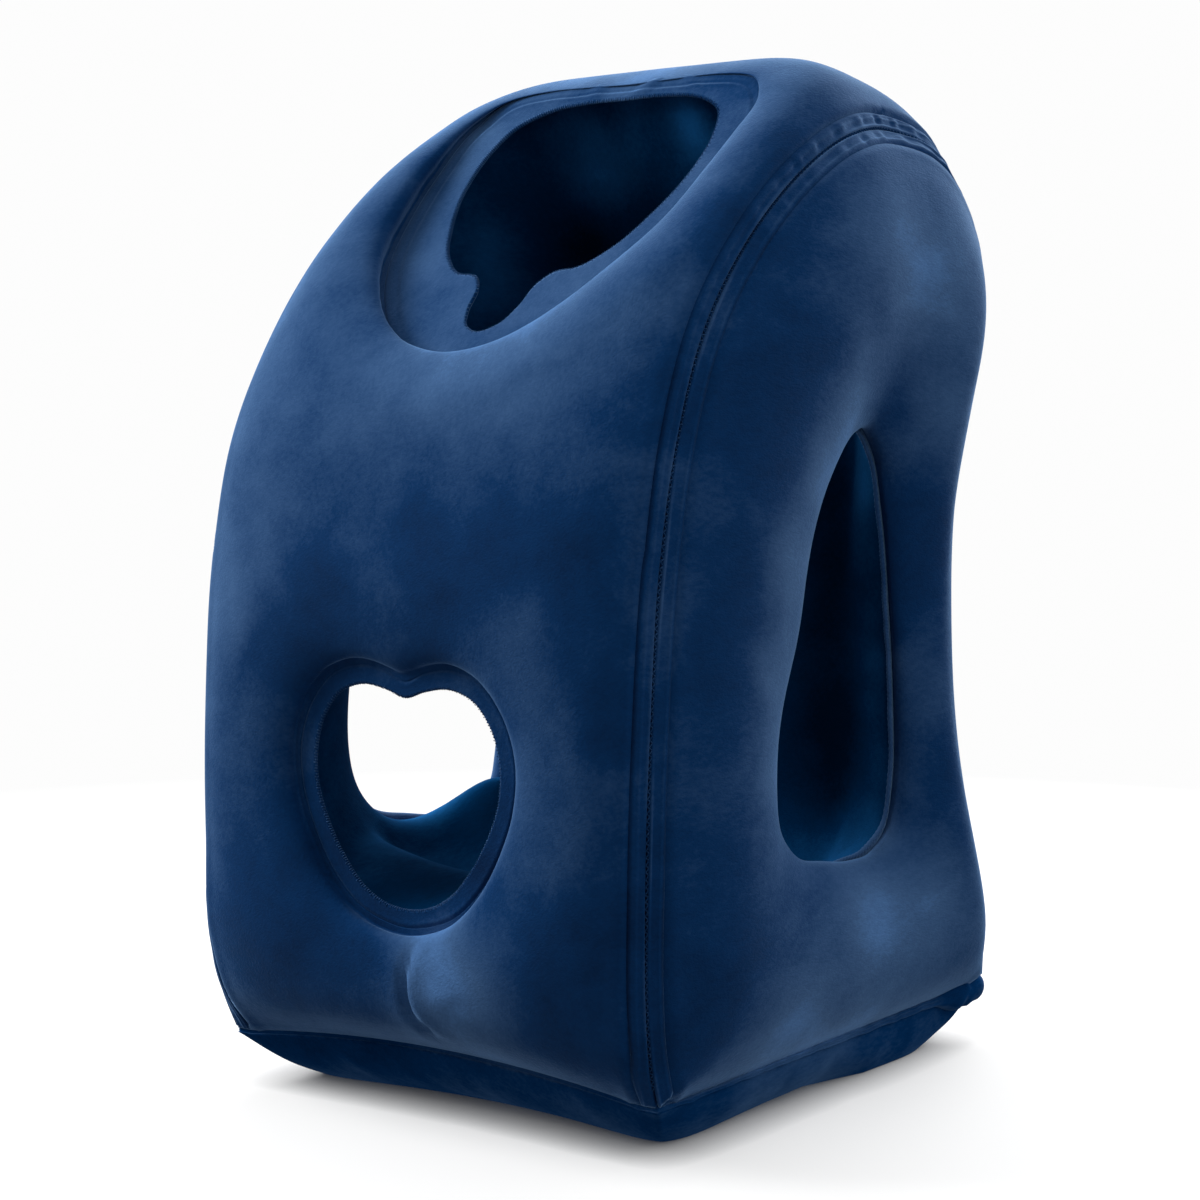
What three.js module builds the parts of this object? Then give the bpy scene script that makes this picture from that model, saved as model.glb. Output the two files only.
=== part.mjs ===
// A lean-forward neck pillow, blown up and standing on its base.
// Millimetres, +Z up. The pillow's front looks along -Y. The origin is in the middle of the flat base.
//
// A gusset runs up the front, over the top and down the back between two side panels. A lining makes
// the hollow inside. Four openings lead into it: a slanted one for the face, a heart in the front and
// one for an arm in each side. Skin and lining meet at a weld round each opening.

import * as THREE from "three";

// Driving dimensions

const CLEARANCE = 0.4;
const BASE_THICKNESS = 27.1;
const FLANGE_THICKNESS = 1.4;
const BODY_BOTTOM = BASE_THICKNESS + CLEARANCE + FLANGE_THICKNESS + CLEARANCE;
const BASE_HALF_WIDTH = 135;
const BASE_HALF_DEPTH = 160;
const WELD_THICKNESS = 2;
const COLUMNS = 14;
const RINGS = 8;
const RING_CROWDING = 1.6;

// Steps along the seam, one count for each stretch. The lining has as many as the skin.
const STEPS = { heart: 11, face: 16, back: 17, floor: 10, toe: 1 };

// The gusset's side seam, from the front foot over the top to the back foot. y and z place the seam,
// half is its distance from the middle plane, crown is how far the gusset stands proud of it at the
// middle, fullness is how squarely it does so, and softness is 1 for a slope up from the seam and 0.5
// for a round edge.
const GUSSET = [
  {
    name: "front foot", y: -BASE_HALF_DEPTH, z: BODY_BOTTOM, half: BASE_HALF_WIDTH,
    crown: 0, fullness: 3.4, softness: 0.8,
  },
  { name: "toe", y: -168, z: 50, half: 136.5, crown: 14, fullness: 3.4, softness: 0.6 },
  { name: "shin", y: -174, z: 84, half: 138, crown: 22.5, fullness: 3.4, softness: 0.5 },
  { name: "heart", y: -174, z: 137, half: 138, crown: 27, fullness: 3.4, softness: 0.48 },
  { name: "belly", y: -172, z: 201, half: 138.5, crown: 29, fullness: 3.4, softness: 0.48 },
  { name: "chest", y: -164, z: 285, half: 139, crown: 29, fullness: 3.4, softness: 0.48 },
  { name: "chin", y: -152, z: 335, half: 138.5, crown: 29, fullness: 3.6, softness: 0.48 },
  { name: "brow", y: -122, z: 393.5, half: 135.5, crown: 29, fullness: 4.2, softness: 0.5 },
  { name: "cheek", y: -80, z: 440, half: 134.5, crown: 32.5, fullness: 5, softness: 0.5 },
  { name: "slope", y: -33, z: 475, half: 135, crown: 40, fullness: 5.6, softness: 0.55 },
  { name: "rise", y: 19, z: 498, half: 132.5, crown: 46, fullness: 5.6, softness: 0.6 },
  { name: "top", y: 71, z: 506, half: 126, crown: 41, fullness: 5.6, softness: 0.7 },
  { name: "nape", y: 123, z: 496.5, half: 129.5, crown: 36.5, fullness: 5, softness: 0.85 },
  { name: "shoulder", y: 151, z: 458.5, half: 134, crown: 32, fullness: 4.2, softness: 1 },
  { name: "back", y: 137, z: 397, half: 133.5, crown: 29.5, fullness: 3.6, softness: 1 },
  { name: "waist", y: 119, z: 315, half: 134.5, crown: 28, fullness: 3.4, softness: 1 },
  { name: "small", y: 117.5, z: 242, half: 136.5, crown: 28, fullness: 3.4, softness: 1 },
  { name: "hip", y: 125, z: 164, half: 136.5, crown: 28, fullness: 3.4, softness: 1 },
  { name: "seat", y: 142, z: 102, half: 135, crown: 23, fullness: 3.4, softness: 1 },
  { name: "heel", y: 155, z: 55, half: 135, crown: 13, fullness: 3.4, softness: 1 },
  {
    name: "back foot", y: BASE_HALF_DEPTH, z: BODY_BOTTOM, half: BASE_HALF_WIDTH,
    crown: 0, fullness: 3.4, softness: 1,
  },
];

// The lining's corner line round the hollow, the same way round. Its crown bulges into the hollow.
const LINING = [
  { name: "front low", y: -112, z: 125, half: 100, crown: -10, fullness: 2.5, softness: 1 },
  { name: "front", y: -116, z: 200, half: 102, crown: -12, fullness: 2.5, softness: 1 },
  { name: "front high", y: -108, z: 275, half: 106, crown: -12, fullness: 2.5, softness: 1 },
  { name: "brow", y: -80, z: 345, half: 114, crown: -10, fullness: 2.5, softness: 1 },
  { name: "slope", y: -25, z: 405, half: 116, crown: -8, fullness: 2.5, softness: 1 },
  { name: "rise", y: 35, z: 440, half: 116, crown: -8, fullness: 2.5, softness: 1 },
  { name: "nape", y: 88, z: 425, half: 112, crown: -8, fullness: 2.5, softness: 1 },
  { name: "shoulder", y: 102, z: 370, half: 104, crown: -10, fullness: 2.5, softness: 1 },
  { name: "back", y: 92, z: 290, half: 100, crown: -12, fullness: 2.5, softness: 1 },
  { name: "small", y: 86, z: 200, half: 100, crown: -12, fullness: 2.5, softness: 1 },
  { name: "hip", y: 90, z: 130, half: 98, crown: -10, fullness: 2.5, softness: 1 },
  { name: "floor back", y: 72, z: 92, half: 96, crown: -6, fullness: 2.5, softness: 1 },
  { name: "floor", y: 0, z: 88, half: 94, crown: -6, fullness: 2.5, softness: 1 },
  { name: "floor front", y: -88, z: 92, half: 96, crown: -6, fullness: 2.5, softness: 1 },
];

// The openings lie in flat planes. tilt is how far a plane leans back from upright, offset is its
// distance from the origin, and height is measured up along it. reach is how far round the weld the
// blown-up skin dips to it, ledge is how much of that stays flat, and roll is how far the skin hangs
// over on its way up. Outlines give the right half, from the middle of the top to the bottom.
const HEART = {
  tilt: 0,
  offset: 180,
  middle: 168,
  reach: 62,
  liningReach: 45,
  ledge: 4,
  roll: 8,
  weld: [
    { x: 0, height: 224 },
    { x: 12, height: 228.5 },
    { x: 26, height: 231 },
    { x: 46, height: 226 },
    { x: 61, height: 211 },
    { x: 69, height: 190 },
    { x: 68, height: 168 },
    { x: 60, height: 146 },
    { x: 46, height: 124 },
    { x: 30, height: 110 },
    { x: 14, height: 104 },
    { x: 0, height: 102 },
  ],
  cut: [
    { x: 0, height: 215.5 },
    { x: 12, height: 219 },
    { x: 27, height: 221 },
    { x: 42, height: 216 },
    { x: 53, height: 203 },
    { x: 58, height: 186 },
    { x: 57, height: 168 },
    { x: 50, height: 150 },
    { x: 40, height: 134 },
    { x: 28, height: 121 },
    { x: 14, height: 113.5 },
    { x: 0, height: 111.5 },
  ],
};

const FACE = {
  tilt: 45,
  offset: 366,
  middle: 300,
  reach: 40,
  liningReach: 60,
  ledge: 4,
  roll: 18,
  weld: [
    { x: 0, height: 389 },
    { x: 30, height: 390 },
    { x: 60, height: 389 },
    { x: 84, height: 382 },
    { x: 97, height: 362 },
    { x: 101, height: 325 },
    { x: 99, height: 285 },
    { x: 90, height: 243 },
    { x: 75, height: 215 },
    { x: 54, height: 189 },
    { x: 28, height: 171 },
    { x: 0, height: 165 },
  ],
  cut: [
    { x: 0, height: 377 },
    { x: 24, height: 377 },
    { x: 50, height: 372 },
    { x: 66, height: 360 },
    { x: 73, height: 338 },
    { x: 73, height: 310 },
    { x: 64, height: 276 },
    { x: 52, height: 252 },
    { x: 38, height: 239 },
    { x: 25, height: 236 },
    { x: 19, height: 228 },
    { x: 16, height: 211 },
    { x: 10, height: 198 },
    { x: 0, height: 193 },
  ],
};

// The arm openings lie in upright planes at half from the middle. Seen from the side, the outline
// is a tall D that narrows upwards, with its straight run towards the back.
const ARM = {
  half: 130,
  middle: { y: -6, z: 235 },
  rim: 4,
  outline: [
    { y: -15, z: 119 },
    { y: 16, z: 117 },
    { y: 44, z: 120 },
    { y: 64, z: 131 },
    { y: 73, z: 157 },
    { y: 73, z: 200 },
    { y: 67, z: 255 },
    { y: 58, z: 305 },
    { y: 47, z: 336 },
    { y: 31, z: 350 },
    { y: 6, z: 346 },
    { y: -24, z: 323 },
    { y: -52, z: 286 },
    { y: -74, z: 236 },
    { y: -85, z: 185 },
    { y: -76, z: 145 },
    { y: -50, z: 124 },
  ],
};

// How a side panel stands out between the seam and the arm weld: rise is its share of the span, most
// caps it, and roll is how far the tube hangs over the weld at the front. BACK_ROLL is the share of
// that left at the back. FALL is how late a panel drops to its seam.
const SIDE_BULGE = { rise: 0.44, most: 41, roll: 44, span: 60, early: 0.45 };
const LINING_BULGE = { rise: -0.7, most: 28, roll: 0, span: 60, early: 0.45 };
const BACK_ROLL = 0.2;
const FALL = { front: 2.5, back: 5 };

// The base's footprint is drawn in between its four round corner feet.
const FOOT = { halfWidth: 122, halfDepth: 132, drawnWidth: 114, drawnDepth: 111, squareness: 9 };
const BASE_WAIST = { height: 12, share: 0.5 };
const PAD_TOP_SHARE = 0.7;

// The base seam arches up between the feet at front and back, and the arch fades out upwards.
const ARCH = { rise: 9, halfWidth: 125, squareness: 6, fade: 50 };

const FLANGE = { inside: 1.5, outside: 3, tabLength: 34, tabOut: 9 };
const SEAM_STRIP = { inward: 1.7, topShare: 0.6, thickness: 1.6, gap: 0.75 };
const TOP_TAB = { width: 13, height: 5, thickness: 2, gap: 0.35 };

// Materials

const flockedSkin = new THREE.MeshStandardMaterial({ color: 0x274a80, roughness: 0.95, metalness: 0 });
const weldedEdge = new THREE.MeshStandardMaterial({ color: 0x1b3765, roughness: 0.9, metalness: 0 });

// Curves through rows

// A smooth curve through a table's rows. Lengths along it are measured over the two place columns,
// and each column is a cubic between rows whose slope is the mean of its neighbours'.
class RowCurve {
  constructor(rows, place, closed) {
    const points = closed ? [...rows, rows[0]] : rows;
    this.closed = closed;
    this.names = rows.map((row) => row.name);
    this.columns = Object.keys(rows[0]).filter((column) => column !== "name");
    this.rows = points;
    this.knots = [0];
    for (let i = 1; i < points.length; i += 1) {
      const across = points[i][place[0]] - points[i - 1][place[0]];
      const along = points[i][place[1]] - points[i - 1][place[1]];
      this.knots.push(this.knots[i - 1] + Math.hypot(across, along));
    }
    this.length = this.knots[this.knots.length - 1];
    this.slopes = points.map((_, i) => this.slopesAt(i));
  }

  slopesAt(i) {
    const last = this.rows.length - 1;
    const steepness = (j, column) =>
      (this.rows[j + 1][column] - this.rows[j][column]) / (this.knots[j + 1] - this.knots[j]);
    const span = (j) => this.knots[j + 1] - this.knots[j];
    const slopes = {};
    for (const column of this.columns) {
      const atEnd = i === 0 || i === last;
      if (atEnd && !this.closed) {
        const outer = i === 0 ? 0 : last - 1;
        const inner = i === 0 ? 1 : last - 2;
        const next = (steepness(outer, column) * span(inner) + steepness(inner, column) * span(outer))
          / (span(outer) + span(inner));
        slopes[column] = 1.5 * steepness(outer, column) - 0.5 * next;
      } else {
        const before = atEnd ? last - 1 : i - 1;
        const after = atEnd ? 0 : i;
        slopes[column] = (steepness(before, column) * span(after) + steepness(after, column) * span(before))
          / (span(before) + span(after));
      }
    }
    return slopes;
  }

  lengthAt(name) {
    return this.knots[this.names.indexOf(name)];
  }

  at(length) {
    const s = this.closed
      ? THREE.MathUtils.euclideanModulo(length, this.length)
      : THREE.MathUtils.clamp(length, 0, this.length);
    let i = 0;
    while (i < this.knots.length - 2 && this.knots[i + 1] <= s) {
      i += 1;
    }
    const span = this.knots[i + 1] - this.knots[i];
    const t = (s - this.knots[i]) / span;
    const weights = [
      2 * t ** 3 - 3 * t ** 2 + 1,
      (t ** 3 - 2 * t ** 2 + t) * span,
      -2 * t ** 3 + 3 * t ** 2,
      (t ** 3 - t ** 2) * span,
    ];
    const value = {};
    for (const column of this.columns) {
      value[column] = weights[0] * this.rows[i][column] + weights[1] * this.slopes[i][column]
        + weights[2] * this.rows[i + 1][column] + weights[3] * this.slopes[i + 1][column];
    }
    return value;
  }
}

// The outward direction across the seam, in the plane seen from the side
function outwardAt(curve, length) {
  const before = curve.at(length - 0.5);
  const after = curve.at(length + 0.5);
  return new THREE.Vector2(before.z - after.z, after.y - before.y).normalize();
}

// Lifts a point with the base seam's arch
function arched(point) {
  const across = Math.max(0, 1 - (point.x / ARCH.halfWidth) ** 2);
  const edge = Math.min(1, Math.abs(point.y) / BASE_HALF_DEPTH) ** ARCH.squareness;
  const above = Math.max(0, 1 - Math.max(0, point.z - BODY_BOTTOM) / ARCH.fade);
  const below = Math.min(1, point.z / BASE_THICKNESS);
  return point.setZ(point.z + ARCH.rise * across * edge * above * below);
}

// A point of the gusset or lining before any opening dips it: u runs from -1 at the left seam to 1 at
// the right one, and the crown falls away towards both as one minus |u| to the power of the fullness,
// all to the power of the softness.
function stripPoint(curve, u, length) {
  const row = curve.at(length);
  const out = outwardAt(curve, length);
  const proud = row.crown * (1 - Math.min(1, Math.abs(u)) ** row.fullness) ** row.softness;
  return arched(new THREE.Vector3(row.half * u, row.y + out.x * proud, row.z + out.y * proud));
}

// A quarter-round rise from 0 to 1, upright where it starts
function roundRise(share) {
  const t = THREE.MathUtils.clamp(share, 0, 1);
  return Math.sqrt(1 - (1 - t) ** 2);
}

// How far a wall hangs over its weld on the way up, from 0 through 1 and back. early is the power
// that brings its most forward, and ROLL_FADE the power that thins it out upwards.
const ROLL_FADE = 1.5;

function rollOver(share, early) {
  const t = THREE.MathUtils.clamp(share, 0, 1);
  return Math.sin(Math.PI * t ** early) * (1 - t) ** ROLL_FADE;
}

// Openings

const OUTLINE_SAMPLES = 360;

// A closed outline that can be read by its angle round a middle point
class Outline {
  constructor(rows, place, middle) {
    const curve = new RowCurve(rows, place, true);
    this.middle = middle;
    this.points = [];
    for (let i = 0; i < OUTLINE_SAMPLES; i += 1) {
      const row = curve.at((curve.length * i) / OUTLINE_SAMPLES);
      this.points.push(new THREE.Vector2(row[place[0]], row[place[1]]));
    }
    this.spokes = this.points
      .map((point) => point.clone().sub(middle))
      .map((arm) => ({ angle: Math.atan2(arm.y, arm.x), radius: arm.length() }))
      .sort((a, b) => a.angle - b.angle);
  }

  // The outline's point at an angle, drawn in by inset
  pointAt(angle, inset = 0) {
    const count = this.spokes.length;
    const found = this.spokes.findIndex((spoke) => spoke.angle > angle);
    const after = this.spokes[found < 0 ? 0 : found];
    const before = this.spokes[found < 0 ? count - 1 : (found + count - 1) % count];
    const turn = 2 * Math.PI;
    const gap = THREE.MathUtils.euclideanModulo(after.angle - before.angle, turn);
    const part = THREE.MathUtils.euclideanModulo(angle - before.angle, turn) / gap;
    const radius = before.radius + (after.radius - before.radius) * part - inset;
    return new THREE.Vector2(Math.cos(angle), Math.sin(angle)).multiplyScalar(radius).add(this.middle);
  }

  angleOf(point) {
    return Math.atan2(point.y - this.middle.y, point.x - this.middle.x);
  }

  // The distance from a point to the nearest piece of the outline
  distanceTo(point) {
    let nearest = Infinity;
    for (let i = 0; i < this.points.length; i += 1) {
      const from = this.points[i];
      const piece = this.points[(i + 1) % this.points.length].clone().sub(from);
      const part = THREE.MathUtils.clamp(point.clone().sub(from).dot(piece) / piece.lengthSq(), 0, 1);
      nearest = Math.min(nearest, point.distanceTo(from.clone().addScaledVector(piece, part)));
    }
    return nearest;
  }
}

// A half outline and its mirror image make the whole one
function bothHalves(half) {
  const left = half
    .filter((row) => row.x > 0)
    .map((row) => ({ x: -row.x, height: row.height }))
    .reverse();
  return [...half, ...left];
}

// The plane of an opening in the gusset, with its weld and cut outlines
class Opening {
  constructor(sizes) {
    const lean = THREE.MathUtils.degToRad(sizes.tilt);
    const middle = new THREE.Vector2(0, sizes.middle);
    this.offset = sizes.offset;
    this.normal = new THREE.Vector3(0, -Math.cos(lean), Math.sin(lean));
    this.up = new THREE.Vector3(0, Math.sin(lean), Math.cos(lean));
    this.weld = new Outline(bothHalves(sizes.weld), ["x", "height"], middle);
    this.cut = new Outline(bothHalves(sizes.cut), ["x", "height"], middle);
  }

  flatten(point) {
    return new THREE.Vector2(point.x, point.dot(this.up));
  }

  lift(flat, above) {
    return new THREE.Vector3(flat.x, 0, 0)
      .addScaledVector(this.up, flat.y)
      .addScaledVector(this.normal, this.offset + above);
  }
}

const HALVINGS = 40;

// The place on a strip, as u and length, that lies behind a point of the opening's plane. It is found
// by halving the stretch of lengths between from and to.
function behind(curve, opening, flat, from, to) {
  let low = from;
  let high = to;
  for (let i = 0; i < HALVINGS; i += 1) {
    const length = (low + high) / 2;
    const height = stripPoint(curve, flat.x / curve.at(length).half, length).dot(opening.up);
    if (height < flat.y) {
      low = length;
    } else {
      high = length;
    }
  }
  const length = (low + high) / 2;
  return { u: flat.x / curve.at(length).half, length };
}

// Meshes

// Corners join when they agree to this share of a millimetre.
const JOIN_WITHIN = 1e-4;

// Collects faces by their corners and joins corners that fall together
class Skin {
  constructor() {
    this.corners = [];
    this.faces = [];
    this.found = new Map();
  }

  corner(point) {
    const key = point.toArray().map((value) => Math.round(value / JOIN_WITHIN)).join(" ");
    if (!this.found.has(key)) {
      this.found.set(key, this.corners.length);
      this.corners.push(point);
    }
    return this.found.get(key);
  }

  face(points) {
    const [a, b, c] = points.map((point) => this.corner(point));
    if (a !== b && b !== c && c !== a) {
      this.faces.push([a, b, c]);
    }
  }

  // A patch of rows of points. A ring's rows close on themselves.
  patch(rows, { ring = false, turned = false } = {}) {
    for (let j = 0; j + 1 < rows.length; j += 1) {
      const count = rows[j].length;
      for (let k = 0; k < (ring ? count : count - 1); k += 1) {
        const next = (k + 1) % count;
        const square = [rows[j][k], rows[j + 1][k], rows[j + 1][next], rows[j][next]];
        const [a, b, c, d] = turned ? square.reverse() : square;
        this.face([a, b, c]);
        this.face([a, c, d]);
      }
    }
  }

  // A fan from a middle point to a ring of points
  fan(middle, ring, turned) {
    ring.forEach((point, k) => {
      const next = ring[(k + 1) % ring.length];
      this.face(turned ? [middle, next, point] : [middle, point, next]);
    });
  }

  volume() {
    return this.faces.reduce((sum, [a, b, c]) => {
      const cross = this.corners[b].clone().cross(this.corners[c]);
      return sum + this.corners[a].dot(cross) / 6;
    }, 0);
  }

  // The finished geometry, with its faces pointing out
  geometry() {
    const faces = this.volume() < 0 ? this.faces.map((face) => [...face].reverse()) : this.faces;
    const geometry = new THREE.BufferGeometry();
    geometry.setAttribute("position",
      new THREE.Float32BufferAttribute(this.corners.flatMap((point) => point.toArray()), 3));
    geometry.setIndex(faces.flat());
    geometry.computeVertexNormals();
    return geometry;
  }
}

function steps(from, to, count) {
  return Array.from({ length: count + 1 }, (_, i) => from + ((to - from) * i) / count);
}

const ringShares = steps(0, 1, RINGS).map((share) => share ** RING_CROWDING);
const acrossShares = steps(-1, 1, COLUMNS);

// The points of a stretch of strip, column by column
function plainGrid(curve, lengths) {
  return acrossShares.map((u) => lengths.map((length) => stripPoint(curve, u, length)));
}

// The border of a stretch of strip, once round, as u and length
function border(lengths) {
  const last = lengths.length - 1;
  return [
    ...acrossShares.slice(0, -1).map((u) => ({ u, length: lengths[0] })),
    ...lengths.slice(0, -1).map((length) => ({ u: 1, length })),
    ...[...acrossShares].reverse().slice(0, -1).map((u) => ({ u, length: lengths[last] })),
    ...[...lengths].reverse().slice(0, -1).map((length) => ({ u: -1, length })),
  ];
}

// How far past a stretch the search behind an opening may go, how early the rim's roll comes, and the
// power of the share by which the opening's shape fades into the strip
const SEARCH_SLACK = 40;
const RIM_EARLY = 0.6;
const RIM_FADE = 4;

// A stretch of strip round an opening, as rings from the weld out to the stretch's border. The strip
// dips to the opening's plane with a quarter-round rise over the reach, and rolls towards its middle.
function openingRings(curve, opening, lengths, angles, { reach, ledge, roll }, weldHeight) {
  const rim = border(lengths);
  const welds = angles.map((angle) => opening.weld.pointAt(angle));
  const from = lengths[0] - SEARCH_SLACK;
  const to = lengths[lengths.length - 1] + SEARCH_SLACK;
  const starts = welds.map((flat) => behind(curve, opening, flat, from, to));
  return ringShares.map((share, ring) => rim.map((end, k) => {
    if (ring === 0) {
      return opening.lift(welds[k], weldHeight);
    }
    const u = starts[k].u + (end.u - starts[k].u) * share;
    const length = starts[k].length + (end.length - starts[k].length) * share;
    const point = stripPoint(curve, u, length);
    const above = point.dot(opening.normal) - opening.offset - weldHeight;
    const flat = opening.flatten(point);
    const risen = (opening.weld.distanceTo(flat) - ledge) / (reach - ledge);
    const fade = 1 - share ** RIM_FADE;
    const dip = (1 - roundRise(risen)) * fade;
    const over = roll * rollOver(risen, RIM_EARLY) * fade;
    const inward = opening.weld.middle.clone().sub(flat).setLength(over);
    point.x += inward.x;
    return point.addScaledVector(opening.up, inward.y).addScaledVector(opening.normal, -above * dip);
  }));
}

// The angles at which an opening's weld faces the border of a stretch
function facingAngles(curve, opening, lengths) {
  return border(lengths).map(({ u, length }) =>
    opening.weld.angleOf(opening.flatten(stripPoint(curve, u, length))));
}

const armOutline = new Outline(ARM.outline, ["y", "z"], new THREE.Vector2(ARM.middle.y, ARM.middle.z));

// A point of a side wall between the arm weld and a corner point. The wall bulges square to the line
// from weld to corner, and rolls over the weld.
function sidePoint(corner, angle, share, bulge, weldHalf, side) {
  const weld = armOutline.pointAt(angle);
  const across = new THREE.Vector2(corner.y - weld.x, corner.z - weld.y);
  const span = across.length();
  const out = corner.half - weldHalf;
  const slant = Math.hypot(span, out);
  const backwards = (1 + Math.cos(angle)) / 2;
  const height = bulge.most * Math.tanh((span * bulge.rise) / bulge.most);
  const fall = FALL.front + (FALL.back - FALL.front) * backwards;
  const lift = height * roundRise(share) * (1 - share ** fall);
  const overhang = BACK_ROLL + (1 - BACK_ROLL) * (1 - backwards) ** 2;
  const roll = bulge.roll * overhang * Math.tanh(span / bulge.span) * rollOver(share, bulge.early);
  const along = share + (-lift * (out / slant) - roll) / span;
  return new THREE.Vector3(
    side * (weldHalf + out * share + (lift * span) / slant),
    weld.x + across.x * along,
    weld.y + across.y * along,
  );
}

// A side wall as rings from the weld outwards
function sideRings(loop, angles, bulge, weldHalf, side) {
  return ringShares.map((share) =>
    loop.map((corner, k) => sidePoint(corner, angles[k], share, bulge, weldHalf, side)));
}

// The blown-up body

const heart = new Opening(HEART);
const face = new Opening(FACE);
const gusset = new RowCurve(GUSSET, ["y", "z"], false);
const lining = new RowCurve(LINING, ["y", "z"], true);

const skinStretches = {
  toe: steps(0, gusset.lengthAt("toe"), STEPS.toe),
  heart: steps(gusset.lengthAt("toe"), gusset.lengthAt("chest"), STEPS.heart),
  face: steps(gusset.lengthAt("chest"), gusset.lengthAt("top"), STEPS.face),
  back: steps(gusset.lengthAt("top"), gusset.length, STEPS.back),
};
const liningStretches = {
  heart: steps(lining.lengthAt("front low"), lining.lengthAt("front high"), STEPS.heart),
  face: steps(lining.lengthAt("front high"), lining.lengthAt("nape"), STEPS.face),
  rest: steps(lining.lengthAt("nape"), lining.length, STEPS.back + STEPS.floor + STEPS.toe),
};
const heartAngles = facingAngles(gusset, heart, skinStretches.heart);
const faceAngles = facingAngles(gusset, face, skinStretches.face);

// The skin's corner loop, from the heart stretch round to the toe, with the base edge in it
function skinLoop() {
  const seam = (lengths) => lengths.slice(0, -1).map((length) => gusset.at(length));
  const baseEdge = steps(BASE_HALF_DEPTH, -BASE_HALF_DEPTH, STEPS.floor).slice(0, -1)
    .map((y) => ({ half: BASE_HALF_WIDTH, y, z: BODY_BOTTOM }));
  return [
    ...seam(skinStretches.heart),
    ...seam(skinStretches.face),
    ...seam(skinStretches.back),
    ...baseEdge,
    ...seam(skinStretches.toe),
  ];
}

function liningLoop() {
  return [liningStretches.heart, liningStretches.face, liningStretches.rest]
    .flatMap((lengths) => lengths.slice(0, -1))
    .map((length) => lining.at(length));
}

const cornerLoop = skinLoop();
const armAngles = cornerLoop.map((corner) => armOutline.angleOf(new THREE.Vector2(corner.y, corner.z)));

function airBody() {
  const skin = new Skin();
  const weld = WELD_THICKNESS / 2;

  skin.patch(plainGrid(gusset, skinStretches.toe));
  skin.patch(plainGrid(gusset, skinStretches.back));
  skin.patch(plainGrid(lining, liningStretches.rest), { turned: true });

  const fronts = [
    { opening: heart, sizes: HEART, stretchName: "heart", angles: heartAngles },
    { opening: face, sizes: FACE, stretchName: "face", angles: faceAngles },
  ];
  for (const { opening, sizes, stretchName, angles } of fronts) {
    const within = { ...sizes, reach: sizes.liningReach, roll: 0 };
    const outside = openingRings(gusset, opening, skinStretches[stretchName], angles, sizes, weld);
    const inside = openingRings(lining, opening, liningStretches[stretchName], angles, within, -weld);
    skin.patch([inside[0], ...outside], { ring: true });
    skin.patch(inside, { ring: true, turned: true });
  }

  for (const side of [-1, 1]) {
    const outside = sideRings(cornerLoop, armAngles, SIDE_BULGE, ARM.half + weld, side);
    const inside = sideRings(liningLoop(), armAngles, LINING_BULGE, ARM.half - weld, side);
    skin.patch([inside[0], ...outside], { ring: true, turned: side > 0 });
    skin.patch(inside, { ring: true, turned: side < 0 });
  }

  const bottom = acrossShares.map((u) => steps(-BASE_HALF_DEPTH, BASE_HALF_DEPTH, STEPS.floor)
    .map((y) => arched(new THREE.Vector3(u * BASE_HALF_WIDTH, y, BODY_BOTTOM))));
  skin.patch(bottom, { turned: true });
  return skin.geometry();
}

// Collars and rims

// A flat ring between two rows of points, as thick as asked, along the given direction
function flatRing(outside, inside, direction, thickness) {
  const raise = (row, height) => row.map((point) => point.clone().addScaledVector(direction, height));
  const half = thickness / 2;
  const rows = [
    raise(outside, half),
    raise(inside, half),
    raise(inside, -half),
    raise(outside, -half),
    raise(outside, half),
  ];
  const skin = new Skin();
  skin.patch(rows, { ring: true });
  return skin.geometry();
}

// The doubled, flat edge between an opening's weld and its cut
function collar(opening, angles) {
  const outside = angles.map((angle) => opening.lift(opening.weld.pointAt(angle, CLEARANCE), 0));
  const inside = angles.map((angle) => opening.lift(opening.cut.pointAt(angle), 0));
  return flatRing(outside, inside, opening.normal, WELD_THICKNESS);
}

// The narrow stitched rim inside an arm weld
function armRim(side) {
  const place = (inset) => armAngles.map((angle) => {
    const point = armOutline.pointAt(angle, inset);
    return new THREE.Vector3(side * ARM.half, point.x, point.y);
  });
  return flatRing(place(CLEARANCE), place(CLEARANCE + ARM.rim), new THREE.Vector3(1, 0, 0), WELD_THICKNESS);
}

// Base

// Points once round a rectangle, as many as the body's own base edge has, with sides drawn in by a
// bow. squareness rounds the corners as a superellipse of that power.
function rectangle(sizes, height) {
  const { halfWidth, halfDepth, drawnWidth = halfWidth, drawnDepth = halfDepth, squareness } = sizes;
  const across = acrossShares.slice(0, -1);
  const along = steps(-1, 1, STEPS.floor).slice(0, -1);
  const unit = [
    ...across.map((u) => [u, -1]),
    ...along.map((v) => [1, v]),
    ...across.map((u) => [-u, 1]),
    ...along.map((v) => [-1, -v]),
  ];
  return unit.map(([u, v]) => {
    const reach = Math.abs(u) ** squareness + Math.abs(v) ** squareness;
    const round = squareness ? reach ** (-1 / squareness) : 1;
    const width = drawnWidth + (halfWidth - drawnWidth) * v ** 2;
    const depth = drawnDepth + (halfDepth - drawnDepth) * u ** 2;
    return new THREE.Vector3(u * width * round, v * depth * round, height);
  });
}

// The base seam's own rectangle, wider by out
function seamRectangle(out, height) {
  return rectangle({ halfWidth: BASE_HALF_WIDTH + out, halfDepth: BASE_HALF_DEPTH + out }, height);
}

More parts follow.
